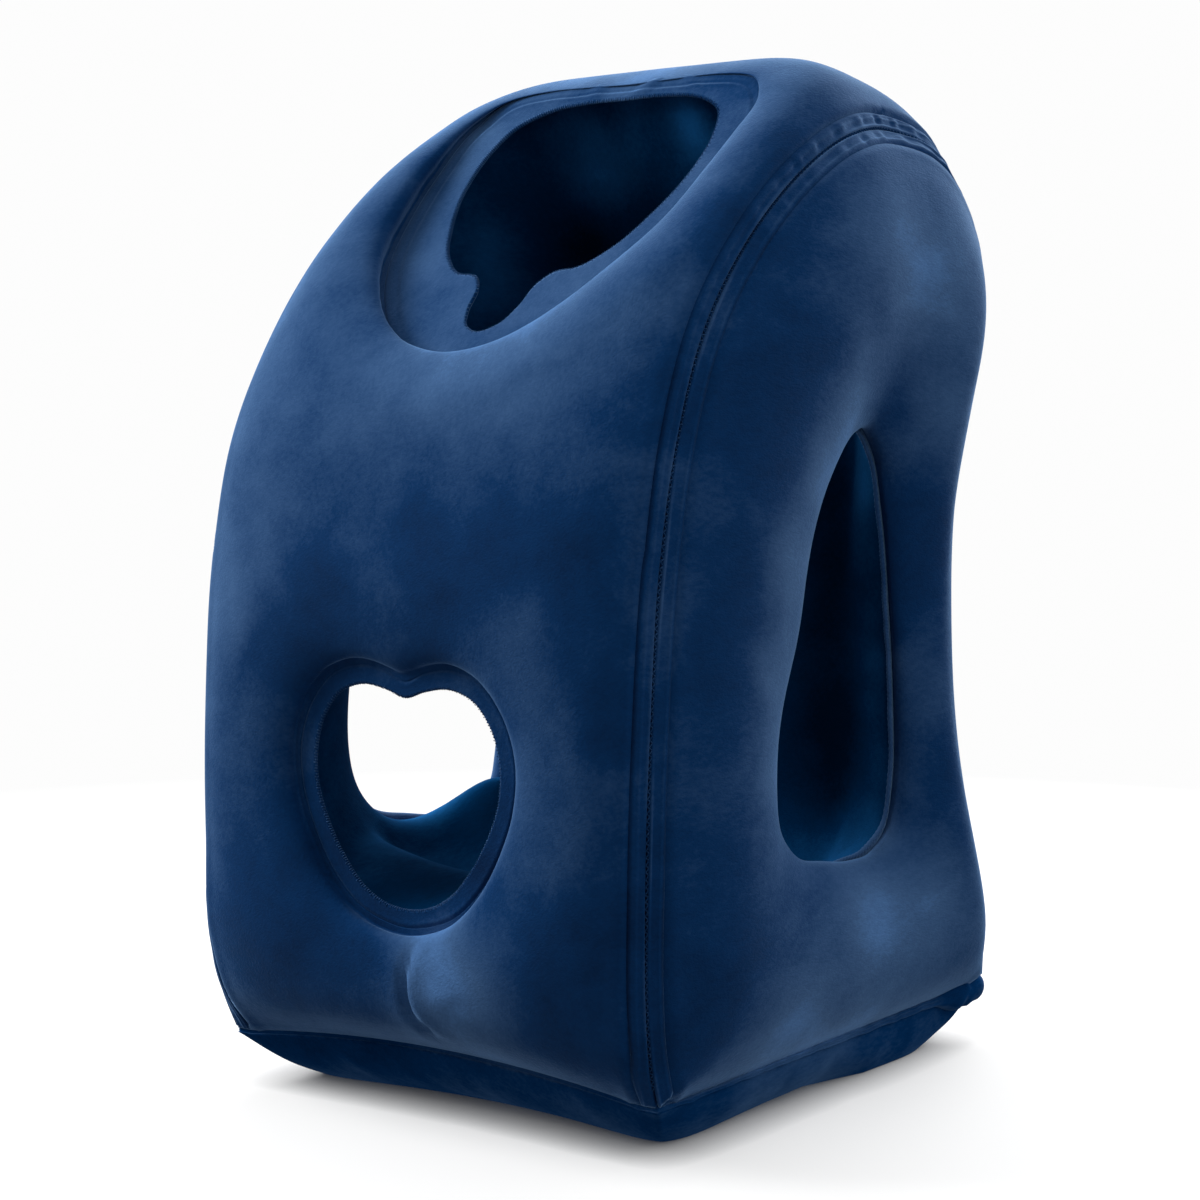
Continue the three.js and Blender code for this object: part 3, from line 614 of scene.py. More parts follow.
def beside_opening(side, opening, run, opening_run, away):
    """The same beside an opening, where the points keep to the rings that dip to its weld."""
    ends = np.stack([np.full(len(run), float(side)), run], -1)
    weld = opening.weld.point_at(facing_angles(opening, ends))
    starts = behind(gusset, opening, weld, opening_run)
    half = gusset.at(run)[:, 2]
    share = 1 - away[:, None] / (half * np.abs(side - starts[:, 0]))
    return dipped(gusset, opening, starts, ends, share, opening.reach, WELD_HALF)


def beside_on_panel(side, lengths, away):
    """Side panel points that lie away millimetres in from the seam."""
    corners = seam_line(gusset, lengths)
    angles = arm.angle_of(corners[:, 1:])
    span = np.linalg.norm(corners[:, 1:] - arm.point_at(angles), axis=1)
    share = 1 - away[:, None] / np.hypot(span, corners[:, 0] - ARM_HALF)
    return side_wall(corners, angles, share, SKIN_WALL, side)


def measured_out(points, away):
    """Rows of points read again so that they lie away millimetres from the first row, measured
    over the surface. Each column is read by itself, along a scale that sets the columns apart."""
    steps = np.linalg.norm(np.diff(points, axis=0), axis=-1)
    reach = np.vstack([np.zeros(points.shape[1]), np.cumsum(steps, axis=0)])
    apart = np.arange(points.shape[1]) * MEASURED_APART
    known = (reach + apart).T.ravel()
    wanted = (away[:, None] + apart).T.ravel()
    axes = [np.interp(wanted, known, points[..., axis].T.ravel()) for axis in range(3)]
    return np.stack(axes, -1).reshape(points.shape[1], len(away), 3).transpose(1, 0, 2)


def grid_normals(points):
    """Unit normals of a grid of points, from its two directions."""
    return unit(np.cross(np.gradient(points, axis=1), np.gradient(points, axis=0)))


def band_ground(side):
    """The ground under a seam band, from the gusset over the seam to the side panel, and the
    directions square to it. The band is pressed flat, so it bridges the valley between the two."""
    heart_end, face_end = heart_run[-1], face_run[-1]
    away = MEASURED_REACH * np.linspace(0, 1, 41) ** 2
    in_heart = (band_run > heart_run[0]) & (band_run <= heart_end)
    in_face = (band_run > heart_end) & (band_run <= face_end)
    front = np.concatenate([
        beside_on_gusset(side, band_run[band_run <= heart_run[0]], away),
        beside_opening(side, heart, band_run[in_heart], heart_run, away),
        beside_opening(side, face, band_run[in_face], face_run, away),
        beside_on_gusset(side, band_run[band_run > face_end], away),
    ], axis=1)
    panel = beside_on_panel(side, band_run, away)
    gusset_half = measured_out(front, -BAND_ACROSS[:BAND_MIDDLE][::-1])[::-1]
    ground = np.concatenate([gusset_half, measured_out(panel, BAND_ACROSS[BAND_MIDDLE:])])
    for _ in range(BRIDGING_ROUNDS):
        ground[1:-1] = (ground[:-2] + 2 * ground[1:-1] + ground[2:]) / 4
    return ground, grid_normals(ground) * -side


band_grounds = {side: band_ground(side) for side in (-1, 1)}


def lip_side(lengths, seed):
    """Which side of its groove a band's lip is on, from 0 for the gusset's to 1 for the panel's."""
    return 0.5 + 0.5 * np.sin(lengths / 21 + seed)


def band_height(across, lengths, seed):
    """How high the band stands over its ground: sunk at both edges, a ridge along the gusset half,
    and a groove where the two halves are stitched, with a lip that changes sides. It puckers where
    it bends over the top, and less elsewhere."""
    away = np.abs(across)
    panel = lip_side(lengths, seed)
    bend = hump(lengths - gusset.length_at("rise"), 170)
    edge = -1.8 * held((away - BAND_HALF + 2.2) / 2.2) ** 1.3
    ridges = 0.4 * hump(across + 6, 0.8) + 0.35 * hump(across - 7.6, 0.7)
    groove = -1.4 * hump(across, 0.6)
    lips = 1.1 * (panel * hump(across - 1.7, 0.8) + (1 - panel) * hump(across + 1.7, 0.8))
    waves = np.where(across < 0, ripples(lengths, 17, seed), ripples(lengths, 21, seed + 2))
    pucker = (0.12 + 0.7 * bend) * np.sin(math.pi * held(away / BAND_HALF)) ** 2 * waves
    return 0.35 + edge + ridges + groove + lips + pucker


def band_shade_and_highlight(across, lengths, seed):
    """The band's painted shade and highlight: shade painted dark in the grooves and between the ridges,
    a painted highlight on the lip, and lighter where it bends over the top.
    """
    away = np.abs(across)
    panel = lip_side(lengths, seed)
    lips = panel * hump(across - 1.8, 0.9) + (1 - panel) * hump(across + 1.8, 0.9)
    grooves = 0.9 * hump(across, 0.55) + 0.5 * hump(away - BAND_HALF, 1.6)
    ridges = 0.12 * hump(across + 6, 1.0) + 0.15 * hump(across - 7.6, 0.8)
    bend = hump(lengths - gusset.length_at("rise"), 150)
    return 0.3 * bend - 0.1 - grooves + 0.45 * lips + ridges


def seam_band(side, material):
    """A closed ribbon: the band's top, and an underside hidden in the skin."""
    ground, normals = band_grounds[side]
    place = (BAND_ACROSS[:, None], band_run[None], 1.0 + side)
    top = ground + normals * band_height(*place)[..., None]
    under = (ground - normals * BAND_DEPTH)[::-6]
    ring = np.concatenate([top, under]).transpose(1, 0, 2)
    ring[..., 2] = np.maximum(ring[..., 2], BODY_BOTTOM + 0.1)
    shell = Shell()
    shell.grid(ring, ring=True, mark=np.concatenate([band_shade_and_highlight(*place), np.zeros(under.shape[:2])]).T)
    shell.fan(ring[0])
    shell.fan(ring[-1])
    return shell.mesh(sided("seam_band", side), material)


def threads(name, starts, ends, lift, radius, mark, material):
    """Short stitches from start to end points, as four-sided threads that are thin at both ends.
    They arch up by lift, times four times the share of the way by what is left of it."""
    t = np.array([0, 0.12, 0.5, 0.88, 1.0])[None, :, None]
    run = ends - starts
    middle = starts[:, None] + run[:, None] * t + lift[:, None] * (4 * t * (1 - t))
    up = unit(lift)
    over = unit(np.cross(run, up))
    thick = radius * np.array([0.3, 1, 1, 1, 0.3])[None, :, None]
    rings = np.stack([middle + way[:, None] * thick for way in (over, up, -over, -up)], 2)
    index = np.arange(rings[..., 0].size).reshape(rings.shape[:-1])
    turned = np.roll(index, -1, axis=2)
    walls = np.stack([index[:, :-1], index[:, 1:], turned[:, 1:], turned[:, :-1]], -1).reshape(-1, 4)
    caps = np.concatenate([index[:, 0], index[:, -1, ::-1]])
    shell = Shell()
    shell.add(rings.reshape(-1, 3), np.concatenate([walls, caps]), np.full(index.size, mark))
    return shell.mesh(name, material, joined=0.0)


def seam_threads(side, material):
    """Zigzag stitches that cross the band's groove, a column of the band for each."""
    ground, normals = band_grounds[side]
    raised = (ground + normals * 0.3)[:, STITCH_MARGIN:-STITCH_MARGIN]
    even = np.arange(raised.shape[1])[:, None] % 2 == 0
    points = np.where(even, raised[BAND_MIDDLE - 2], raised[BAND_MIDDLE + 2])
    lift = normals[BAND_MIDDLE, STITCH_MARGIN:-STITCH_MARGIN - 1] * 0.12
    return threads(sided("seam_stitches", side), points[:-1], points[1:], lift, 0.3, -0.2, material)


# Collars: flat welded rings round the face and heart openings

COLLAR_POINTS = 520
CUT_ROUND = 1.4


def collar_height(across, width, two_rows):
    """The height of a collar's top over its middle plane. across runs in from the weld to the cut
    edge. A groove with a ridge beside it marks the weld, and a fainter one the second row."""
    height = 1.25 - 0.7 * hump(across - 0.6, 1.2) + 0.15 * hump(across - 3, 1.2)
    if two_rows:
        away = across - np.minimum(9.0, width * 0.55)
        height = height - 0.35 * hump(away, 1.1) + 0.2 * hump(away - 2, 1.3)
    return height


def face_wrinkles(flat):
    """Low folds across the top of the face collar, where it rises to its weld."""
    x, height = flat[..., 0], flat[..., 1]
    above = height - 380
    folds = 1.2 * dome((x - 8 - 0.8 * above) / 9) + 0.9 * dome((x - 44 + 0.9 * above) / 7)
    return held((height - 366) / 14) * (1.6 + folds + 0.8 * dome((x + 22) / 8))


def collar(name, opening, material, two_rows=False, wrinkles=None):
    """A closed ring: a top and an underside between the weld and the cut outline, where both round
    off to the edge. Wrinkles lift both, less and less towards the edge."""
    angles = angles_round(COLLAR_POINTS)
    weld = opening.weld.point_at(angles, -0.6)
    cut = opening.cut.point_at(angles)
    width = np.hypot(*(cut - weld).T)
    share = np.linspace(0, 1, 34)[:, None] ** 0.8
    flat = weld + (cut - weld) * share[..., None]
    across = share * width
    rounded = np.sqrt(held((width - across) / CUT_ROUND))
    crease = wrinkles(flat) * (1 - share**2) if wrinkles else 0.0
    top = opening.lift(flat, collar_height(across, width, two_rows) * rounded + crease)
    under = opening.lift(flat, -1.1 * rounded + crease)
    shell = Shell()
    shell.grid(np.concatenate([top, under[::-1]]), loop=True)
    return shell.mesh(name, material)


def edge_threads(name, opening, material, count, length):
    """Blanket stitches over a cut edge, each from the top face round to the underside."""
    cut = opening.cut.point_at(angles_round(count))
    outward = unit(cut - opening.cut.middle)
    wobble = 0.6 * np.sin(np.arange(count) * 2.4)[:, None]
    start = opening.lift(cut + outward * (length + wobble), 1.25)
    end = opening.lift(cut - outward * 0.25, 0.0)
    lift = np.broadcast_to(opening.normal * 0.45, start.shape)
    return threads(name, start, end, lift, 0.32, 0.3, material)


# Arm rims: a narrow weld with a rope-like bead of overlock stitches along its edge

ROPE_TURNS = 230
BEAD_RADIUS = 1.15


def arm_rim(side, material):
    """A closed ring whose profile is a flat weld that ends in a round bead, twisted like a rope. The
    bead sways in and out a little along the edge."""
    angles = angles_round(ROPE_TURNS * 5)
    weld = arm.point_at(angles, 0.4)
    inward = unit(arm.middle - weld)
    around = np.linspace(-0.8 * math.pi, 0.8 * math.pi, 13)[:, None]
    bead = BEAD_RADIUS + 0.14 * np.sin(ROPE_TURNS * angles + 2 * around)
    sway = 0.35 * np.sin(9 * angles) + 0.25 * np.sin(23 * angles + 1)
    level = 0 * angles
    into = np.vstack([2.9 + sway + bead * np.cos(around), level, level])
    out = np.vstack([bead * np.sin(around), level + 0.8, level - 0.8])
    flat = weld + inward * into[..., None]
    shell = Shell()
    shell.grid(np.concatenate([(side * (ARM_HALF + out))[..., None], flat], -1), loop=True, mark=0.45)
    return shell.mesh(sided("arm_bead", side), material)


# Base: a pad drawn in to a flat footprint, and the doubled lap where it is welded to the body

FOOT_HALF_WIDTH = 121
FOOT_HALF_DEPTH = 131
DRAWN_HALF_WIDTH = 114
DRAWN_HALF_DEPTH = 111
FOOT_SQUARENESS = 8
PAD_POINTS = 90
LAP_POINTS = 160
TAB_LENGTH = 50


def square_path(count):
    """Points once round a square of half width 1, from its front left corner, count to a side."""
    u = np.linspace(-1, 1, count + 1)[:-1]
    one = np.ones(count)
    return np.r_[u, one, -u, -one], np.r_[-one, u, one, -u]


def base_seam(count, height):
    """Points once round the base seam, a rectangle at a height, lifted by the arch."""
    u, v = square_path(count)
    return arched(np.stack([u * BASE_HALF_WIDTH, v * BASE_HALF_DEPTH, np.full(len(u), height)], -1))


def footprint(count):
    """Points once round the flat foot: a superellipse whose sides are drawn in by the square of the
    distance from their corners. Its back is a tenth wider."""
    u, v = square_path(count)
    power = FOOT_SQUARENESS
    rounding = (np.abs(u) ** power + np.abs(v) ** power) ** (-1 / power)
    x = u * rounding * (DRAWN_HALF_WIDTH + (FOOT_HALF_WIDTH - DRAWN_HALF_WIDTH) * v**2)
    y = v * rounding * (DRAWN_HALF_DEPTH + (FOOT_HALF_DEPTH - DRAWN_HALF_DEPTH) * u**2)
    return np.stack([x * (1 + 0.1 * held((y - 5) / 45)), y, 0 * u], -1)


def base_pad(material):
    """The pad as rings from its top middle out to the seam, and down round to the footprint. It
    bulges square to the line from seam to foot, less at its corners, and soft creases run down it."""
    top = base_seam(PAD_POINTS, BASE_THICKNESS)
    foot = footprint(PAD_POINTS)
    t = np.linspace(0, 1, 25)[:, None, None]
    belly = np.sin(math.pi * t)
    out = unit((top - foot) * (1, 1, 0))
    place = np.arange(len(top)) * 4.0
    crease = 0.9 * ripples(place, 70, 0.4) + 0.3 * ripples(place, 31, 2.2)
    corner = (np.abs(top[:, 0] / BASE_HALF_WIDTH) * np.abs(top[:, 1] / BASE_HALF_DEPTH)) ** 3
    tight = 1 - np.where(top[:, 1] < 0, 1.3, 0.4) * corner
    bulge = 6.5 * tight[:, None] * belly**0.8 * (1 - 0.35 * t) + crease[:, None] * belly**1.5
    wall = top + (foot - top) * t + out * bulge
    wall[..., 2] = np.maximum(wall[..., 2] - 3.0 * belly[..., 0], 0)
    shell = Shell()
    # The pad's mark of -0.3 darkens its colour: painted shade on the pad, which sits low under the body.
    shell.grid(wall, ring=True, mark=-0.3)
    shell.fan(wall[0])
    shell.fan(wall[-1])
    return shell.mesh("base_pad", material)


def base_lap(material):
    """The lap as a closed ring: two soft lips with a groove between them. It widens and puffs up
    into a creased tab at each back corner."""
    square = np.stack(square_path(LAP_POINTS), -1)
    out = np.insert(unit(np.sign(square) * np.abs(square) ** 60), 2, 0, axis=1)
    path = base_seam(LAP_POINTS, LAP_MIDDLE)
    x, y = np.abs(path[:, 0]), path[:, 1]
    on_side = x > BASE_HALF_WIDTH - 0.01
    tab = on_side * eased((y - BASE_HALF_DEPTH + TAB_LENGTH) / 26)
    back = on_side * held((y + 70) / 200)
    sideways = held((x - BASE_HALF_WIDTH + 6) / 6) * held((y + BASE_HALF_DEPTH - 3) / 16)
    place = np.arange(len(path)) * 1.9
    reach = -0.8 + sideways * (3.4 + 0.4 * ripples(place, 30, 0.7)) + 1.2 * back + 4.4 * tab
    thick = 1.2 + 0.2 * ripples(place, 22, 1.9) + 1.8 * back + 6 * tab
    turn = np.linspace(0, 2 * math.pi, 25)[:-1][:, None]
    outside = np.cos(turn) > 0
    lips = 1 - 0.42 * hump(np.sin(turn), 0.3) * outside * (1 - tab)
    out_by = np.cos(turn) * np.where(outside, lips * reach, 2.5)
    wave = 0.7 * ripples(place, 26, 0.2) + 1.3 * tab * ripples(place, 13, 0.9)
    height = np.sin(turn) * thick + wave * held(out_by / 4)
    shell = Shell()
    points = path + out * out_by[..., None]
    points[..., 2] += height
    shell.grid(points, loop=True)
    return shell.mesh("base_lap", material)


# Top: a small fold in the middle

def top_fold(material):
    """The small folded tab where the gusset's own cross seam ends, as a flat rounded cushion."""
    length = gusset.length_at("top")
    seat = strip_point(gusset, 0.0, length)
    out = outward_at(gusset, length)
    round_about = np.linspace(0, 2 * math.pi, 33)[:-1]
    turn, rise = np.meshgrid(round_about, np.linspace(-0.5 * math.pi, 0.5 * math.pi, 17))
    wide = 6.5 * np.sign(np.cos(turn)) * np.abs(np.cos(turn)) ** 0.6 * np.cos(rise) ** 0.5
    deep = 1.3 * np.sin(turn) * np.cos(rise) ** 0.5
    high = 1.6 + 2.6 * np.sin(rise) + 0.5 * np.cos(wide * 0.7)
    y = seat[1] + out[0] * high + out[1] * deep
    z = seat[2] + out[1] * high - out[0] * deep
    shell = Shell()
    shell.grid(np.stack([wide, y, z], -1), ring=True)
    return shell.mesh("top_fold", material)


# Relief: what is pressed, puffed and smoothed once the body is a mesh

LINING_ROUNDS = 160
SKIN_ROUNDS = 60
CREASE_POINTS = 200

# The crease that runs down the front's middle: x and z, from the top
CREASE = [(13, 103), (10, 90), (8, 79), (9, 66), (13, 57), (19, 49), (23, 41)]


def from_seams(points):
    """Each point's distance from the side seam on its own side."""
    on_right = points * np.where(points[:, :1] < 0, (-1, 1, 1), 1)
    return nearest(on_right, seam_line(gusset, band_run))[0]


def sink_seams(points):
    """How far the skin is pushed out: sunk under each seam band, with a welt beside it."""
    away = from_seams(points) - BAND_HALF
    push = -2.4 + 3.2 * eased((away + 3) / 5) - 0.8 * eased((away - 2) / 9)
    return np.where(points[:, 2] < BODY_BOTTOM + 0.5, 0, push)


def front_crease(points):
    """How far the front stands out beside its crease: a sharp trough, with a fold and a broad lobe
    on its right and a low fold on its left. It fades out at both ends."""
    rows = RowCurve(CREASE, closed=False)
    line = rows.at(np.linspace(0, rows.length, CREASE_POINTS))
    away, which = nearest(points[:, [0, 2]], line)
    away = np.where(points[:, 0] < line[which, 0], -away, away)
    strong = dome(which / (CREASE_POINTS - 1) * 2 - 1) * (points[:, 1] < -140)
    folds = 2.2 * hump(away - 5.5, 4) + 2.5 * hump(away - 20, 16) + 0.8 * hump(away + 7, 5)
    return strong * (folds - 4.0 * hump(away, 2.2))


def relaxed(points, edges, free, rounds):
    """The points after rounds in which each moves half-way to the mean of its neighbours, as far
    as it is free to."""
    ends = np.concatenate([edges, edges[:, ::-1]])
    count = np.bincount(ends[:, 0], minlength=len(points))
    for _ in range(rounds):
        sums = [np.bincount(ends[:, 0], points[ends[:, 1], axis], len(points)) for axis in range(3)]
        mean = np.stack(sums, -1) / count[:, None]
        points = points + (mean - points) * 0.5 * free[:, None]
    return points


def puffed_floor(points):
    """How far the lining's floor puffs up under the arm openings, most of all under the left one. It
    rises from the middle plane outwards, and falls off to the front and back and upwards."""
    x, y, z = points.T
    outwards = np.where(x < 0, 36, 8) * eased((np.abs(x) - 15) / 90)
    by_arm = 34 * hump(x + 84, 24) * hump(y - 14, 30)
    return (outwards * held(1 - ((y - 5) / 150) ** 2) + by_arm) * held((190 - z) / 60)


def smooth(piece):
    """Puffs up the lining's floor and rounds off its corners, up to the welds, and evens out the
    side panels between their welds and seams and the notch over the heart."""
    points, _ = read(piece)
    edges = np.empty(len(piece.data.edges) * 2, np.int32)
    piece.data.edges.foreach_get("vertices", edges)
    edges = edges.reshape(-1, 2)
    inside = marks(piece)
    welds = [opening.lift(opening.weld.points, 0.0) for opening in (heart, face)]
    welds += [np.insert(arm.points, 0, side * ARM_HALF, axis=1) for side in (-1, 1)]
    from_weld, _ = nearest(points, np.vstack(welds))
    free = inside * held((from_weld - 3) / 10)
    points[:, 2] += free * puffed_floor(points)
    points = relaxed(points, edges, free, LINING_ROUNDS)
    room = np.minimum(np.minimum(from_weld, from_seams(points)), points[:, 2] - BODY_BOTTOM)
    panel = (1 - inside) * (np.abs(points[:, 0]) > ARM_HALF + 4) * held((room - 8) / 15)
    points = relaxed(points, edges, panel, SKIN_ROUNDS)
    notch = (points[:, 1] < -120) * hump(points[:, 0], 30) * hump(points[:, 2] - 238, 22)
    notch = (1 - inside) * notch * held((from_weld - 2) / 10)
    write(piece, relaxed(points, edges, notch, SKIN_ROUNDS))


def line_inside(piece, material):
    """Gives the lining's faces their own material, a darker flock that paints the shade of the hollow,
    and takes its mark off its points. A face is the lining's from three tenths of its corners on."""
    inside = marks(piece)
    mesh = piece.data
    mesh.materials.append(material)
    starts = np.empty(len(mesh.polygons), np.int32)
    corners = np.empty(len(mesh.loops), np.int32)
    mesh.polygons.foreach_get("loop_start", starts)
    mesh.loops.foreach_get("vertex_index", corners)
    share = np.add.reduceat(inside[corners], starts) / np.diff(np.r_[starts, len(corners)])
    mesh.polygons.foreach_set("material_index", (share > 0.3).astype(np.int32))
    mesh.attributes["mark"].data.foreach_set("value", 0 * inside)


# Painted light and shade, with some nap tone: places where the colour is painted lighter, as on lit
# crests and faces, or darker, as in the shade inside the openings, over the heart and beside the seams,
# than the rest, as x, y, z, how far each spreads, and by how much
PAINTED_LIGHT_AND_NAP = {
    "over the front": [
        (-105, -155, 385, 26, 0.15), (-45, -168, 369, 26, 0.2), (-10, -175, 358, 26, 0.4),
        (35, -175, 355, 26, 0.35), (75, -170, 362, 22, 0.3), (112, -146, 394, 18, 0.25),
    ],
    "down the left": [
        (-100, -178, 320, 26, 0.3), (-92, -188, 272, 24, 0.5), (-118, -186, 235, 20, 0.3),
        (-108, -192, 180, 22, 0.3),
    ],
    "right of the heart": [
        (85, -194, 250, 16, 0.4), (92, -194, 215, 16, 0.5), (88, -195, 180, 16, 0.5),
        (86, -195, 140, 18, 0.45),
    ],
    "under the heart": [(24, -191, 96, 18, 0.8), (44, -188, 76, 22, 1.25)],
    "back of the sides": [
        (155, 15, 450, 28, 0.6), (160, 60, 425, 28, 0.9), (160, 92, 440, 22, 0.5),
        (160, 85, 350, 24, 0.6), (158, 95, 225, 26, 0.3),
    ],
    "along the arm opening": [
        (158, -20, 358, 18, 0.8), (157, -46, 326, 17, 1.0), (158, -80, 285, 17, 0.95),
        (156, -87, 232, 16, 0.7), (155, -91, 182, 16, 0.6),
    ],
    "under the arm opening": [
        (155, 10, 92, 24, 1.3), (158, 75, 92, 26, 1.1), (157, -62, 62, 20, 0.5),
        (159, -125, 96, 20, -0.35), (150, -146, 52, 18, -0.2),
    ],
    "over the heart": [(27, -193, 287, 22, -0.25), (-37, -194, 270, 18, -0.2)],
    "left of the heart": [(-57, -193, 242, 18, -0.3), (-70, -195, 111, 22, -0.25)],
    "beside the seam": [
        (115, -185, 300, 18, -0.25), (122, -188, 223, 18, -0.25), (123, -190, 131, 18, -0.3),
        (118, -186, 80, 22, -0.3),
    ],
    "beside the face": [(125, -92, 452, 20, -0.2)],
    "over the top": [(60, 40, 550, 40, -0.6), (-60, 60, 550, 40, -0.3)],
    "side of the base": [(135, -20, 20, 50, 0.6), (150, -70, 52, 16, 0.4)],
    "behind the face": [(-54, 20, 529, 18, 0.6), (-96, 1, 505, 18, 0.4), (3, 16, 534, 18, 0.4)],
    "inside the face opening": [
        (-42, 38, 491, 16, 1.5), (28, 30, 513, 9, 2.5), (-112, 22, 447, 20, 0.8),
        (-64, 60, 452, 14, -0.9), (-9, 50, 467, 13, -0.6),
    ],
    "inside the arm opening": [
        (80, 88, 310, 16, -0.9), (84, 88, 270, 16, -0.9), (86, 86, 230, 16, -0.9),
        (90, 84, 190, 16, -0.9), (84, 88, 150, 18, -0.9), (112, 66, 310, 9, 0.4), (114, 66, 280, 9, 0.4),
        (115, 66, 250, 9, 0.4), (114, 68, 220, 9, 0.4), (114, 72, 195, 9, 0.4), (112, 70, 165, 10, 0.4),
        (112, 62, 140, 11, 0.3),
    ],
    "inside the heart": [
        (-84, 10, 158, 30, -0.9), (20, -150, 130, 34, -1.0), (65, -120, 142, 34, -1.0),
        (-40, -120, 130, 30, -0.5),
    ],
}


def paint_light_and_nap(piece):
    """Paints light and shade, with some nap tone, into the colour: its mark and the listed places, which
    are bell curves of the distance from their middles."""
    points, _ = read(piece)
    share = marks(piece).astype(float)
    for places in PAINTED_LIGHT_AND_NAP.values():
        for *middle, spread, amount in places:
            square = ((points - middle) ** 2).sum(1)
            share += amount * np.exp(-square / (2 * spread**2))
    paint(piece, "painted_light_and_nap", share)


# Materials

def fill(tree, node, sockets):
    """Gives a node's sockets their values. A value that is itself a socket is linked."""
    for name, value in sockets.items():
        if isinstance(value, bpy.types.NodeSocket):
            tree.links.new(value, node.inputs[name])
        else:
            node.inputs[name].default_value = value


def shader_node(tree, kind, *values, **settings):
    """Adds a shader node. Values without a name fill its sockets in order, names of sockets fill
    those, and other names give its properties."""
    made = tree.nodes.new(kind)
    sockets = dict(enumerate(values))
    for name, value in settings.items():
        if hasattr(made, name):
            setattr(made, name, value)
        else:
            sockets[name.replace("_", " ")] = value
    fill(tree, made, sockets)
    return made


def new_material(name, sockets):
    """A material, its tree and its shader, whose sockets have the given values."""
    made = bpy.data.materials.new(name)
    made.use_nodes = True
    tree = made.node_tree
    shader = tree.nodes["Principled BSDF"]
    fill(tree, shader, sockets)
    return made, tree, shader


def ranged(tree, value, low, high, first, last):
    """A value mapped from one range to another, held at the ends and eased between them."""
    made = shader_node(tree, "ShaderNodeMapRange", interpolation_type="SMOOTHSTEP", Value=value,
                       From_Min=low, From_Max=high, To_Min=first, To_Max=last)
    return made.outputs["Result"]


def total(tree, value, *others):
    """The sum of some values."""
    for other in others:
        value = shader_node(tree, "ShaderNodeMath", value, other, operation="ADD").outputs["Value"]
    return value


def noise(tree, place, scale, detail, roughness, distortion=0.0):
    """A cloud of noise with values from 0 to 1."""
    made = shader_node(tree, "ShaderNodeTexNoise", Vector=place, Scale=scale, Detail=detail,
                       Roughness=roughness, Distortion=distortion)
    return made.outputs["Fac"]


def flocked(name, deep, dark, light, sheen):
    """Flock whose colour has painted light and sheen in it: it is painted paler where it leans to the
    light and where it is seen edge on.

    A sum from -1 to 1.5 leads from the deep colour over the dark to the light one: up to 0.6 of painted
    light by how far the skin faces up and left, up to 0.7 of painted sheen by how far it turns away, a
    cloud of brushed patches, broad and fine streaks, and the painted light, shade and nap tone stored on
    the skin.
    """
    made, tree, shader = new_material(name, {
        "Roughness": 0.9,
        "Specular IOR Level": 0.12 * sheen,
        "Sheen Weight": sheen,
        "Sheen Roughness": 0.3,
        "Sheen Tint": (0.3, 0.58, 1.0, 1),
    })
    place = shader_node(tree, "ShaderNodeTexCoord").outputs
    # Painted light: the colour pales as the skin faces up and to the left.
    painted_light_from_up_left = shader_node(tree, "ShaderNodeVectorMath", place["Normal"], (-0.5, -0.05, 0.85),
                         operation="DOT_PRODUCT")
    # Painted sheen: the colour pales where the skin is seen edge on.
    turned = shader_node(tree, "ShaderNodeLayerWeight", Blend=0.5)
    slant = shader_node(tree, "ShaderNodeMapping", Vector=place["Object"],
                        Rotation=(0.5, 0.6, 0.7), Scale=(1.0, 0.35, 1.0)).outputs["Vector"]
    clouds = noise(tree, place["Object"], 16.0, 2.0, 0.45, 0.5)
    strokes = noise(tree, slant, 60.0, 2.0, 0.5, 0.3)
    streaks = noise(tree, slant, 420.0, 3.0, 0.7)
    painted = shader_node(tree, "ShaderNodeAttribute", attribute_name="painted_light_and_nap")
    share = total(
        tree,
        ranged(tree, painted_light_from_up_left.outputs["Value"], 0.05, 0.9, 0.0, 0.6),
        ranged(tree, turned.outputs["Facing"], 0.4, 1.0, 0.0, 0.7),
        ranged(tree, clouds, 0.25, 0.8, -0.24, 0.3),
        ranged(tree, strokes, 0.25, 0.8, -0.1, 0.12),
        ranged(tree, streaks, 0.25, 0.75, -0.12, 0.12),
        painted.outputs["Fac"],
    )
    spread = shader_node(tree, "ShaderNodeMapRange", Value=share, From_Min=-1.0, From_Max=1.5)
    ramp = shader_node(tree, "ShaderNodeValToRGB", Fac=spread.outputs["Result"])
    ramp.color_ramp.elements.new(0.4)
    ramp.color_ramp.elements.new(0.8)
    bright = [1.6 * part for part in light]
    for element, colour in zip(ramp.color_ramp.elements, (deep, dark, light, bright)):
        element.color = (*colour, 1)
    nap = noise(tree, slant, 900.0, 2.0, 0.7)
    raised = shader_node(tree, "ShaderNodeBump", Height=nap, Strength=0.6, Distance=0.0006)
    fill(tree, shader, {"Base Color": ramp.outputs["Color"], "Normal": raised.outputs["Normal"]})
    return made


# The flock's tones: the deep one for painted shade, the dark one its own colour, the light one for
# painted light and sheen.
DEEP_NAVY = (0.0005, 0.008, 0.035)
DARK_NAVY = (0.002, 0.034, 0.125)
LIGHT_NAVY = (0.045, 0.11, 0.25)
flock = flocked("navy_flock", DEEP_NAVY, DARK_NAVY, LIGHT_NAVY, sheen=0.4)
shaded = flocked("navy_flock_base", DEEP_NAVY, DARK_NAVY, LIGHT_NAVY, sheen=0.0)
# A darker copy of the flock for the lining: painted shade for the hollow inside.
shade_painted_flock = flocked("navy_flock_painted_shade", (0.0005, 0.01, 0.032), (0.0005, 0.03, 0.1), (0.008, 0.09, 0.26),
                sheen=0.02)


# The pieces, with the nodes that they replace and their slots

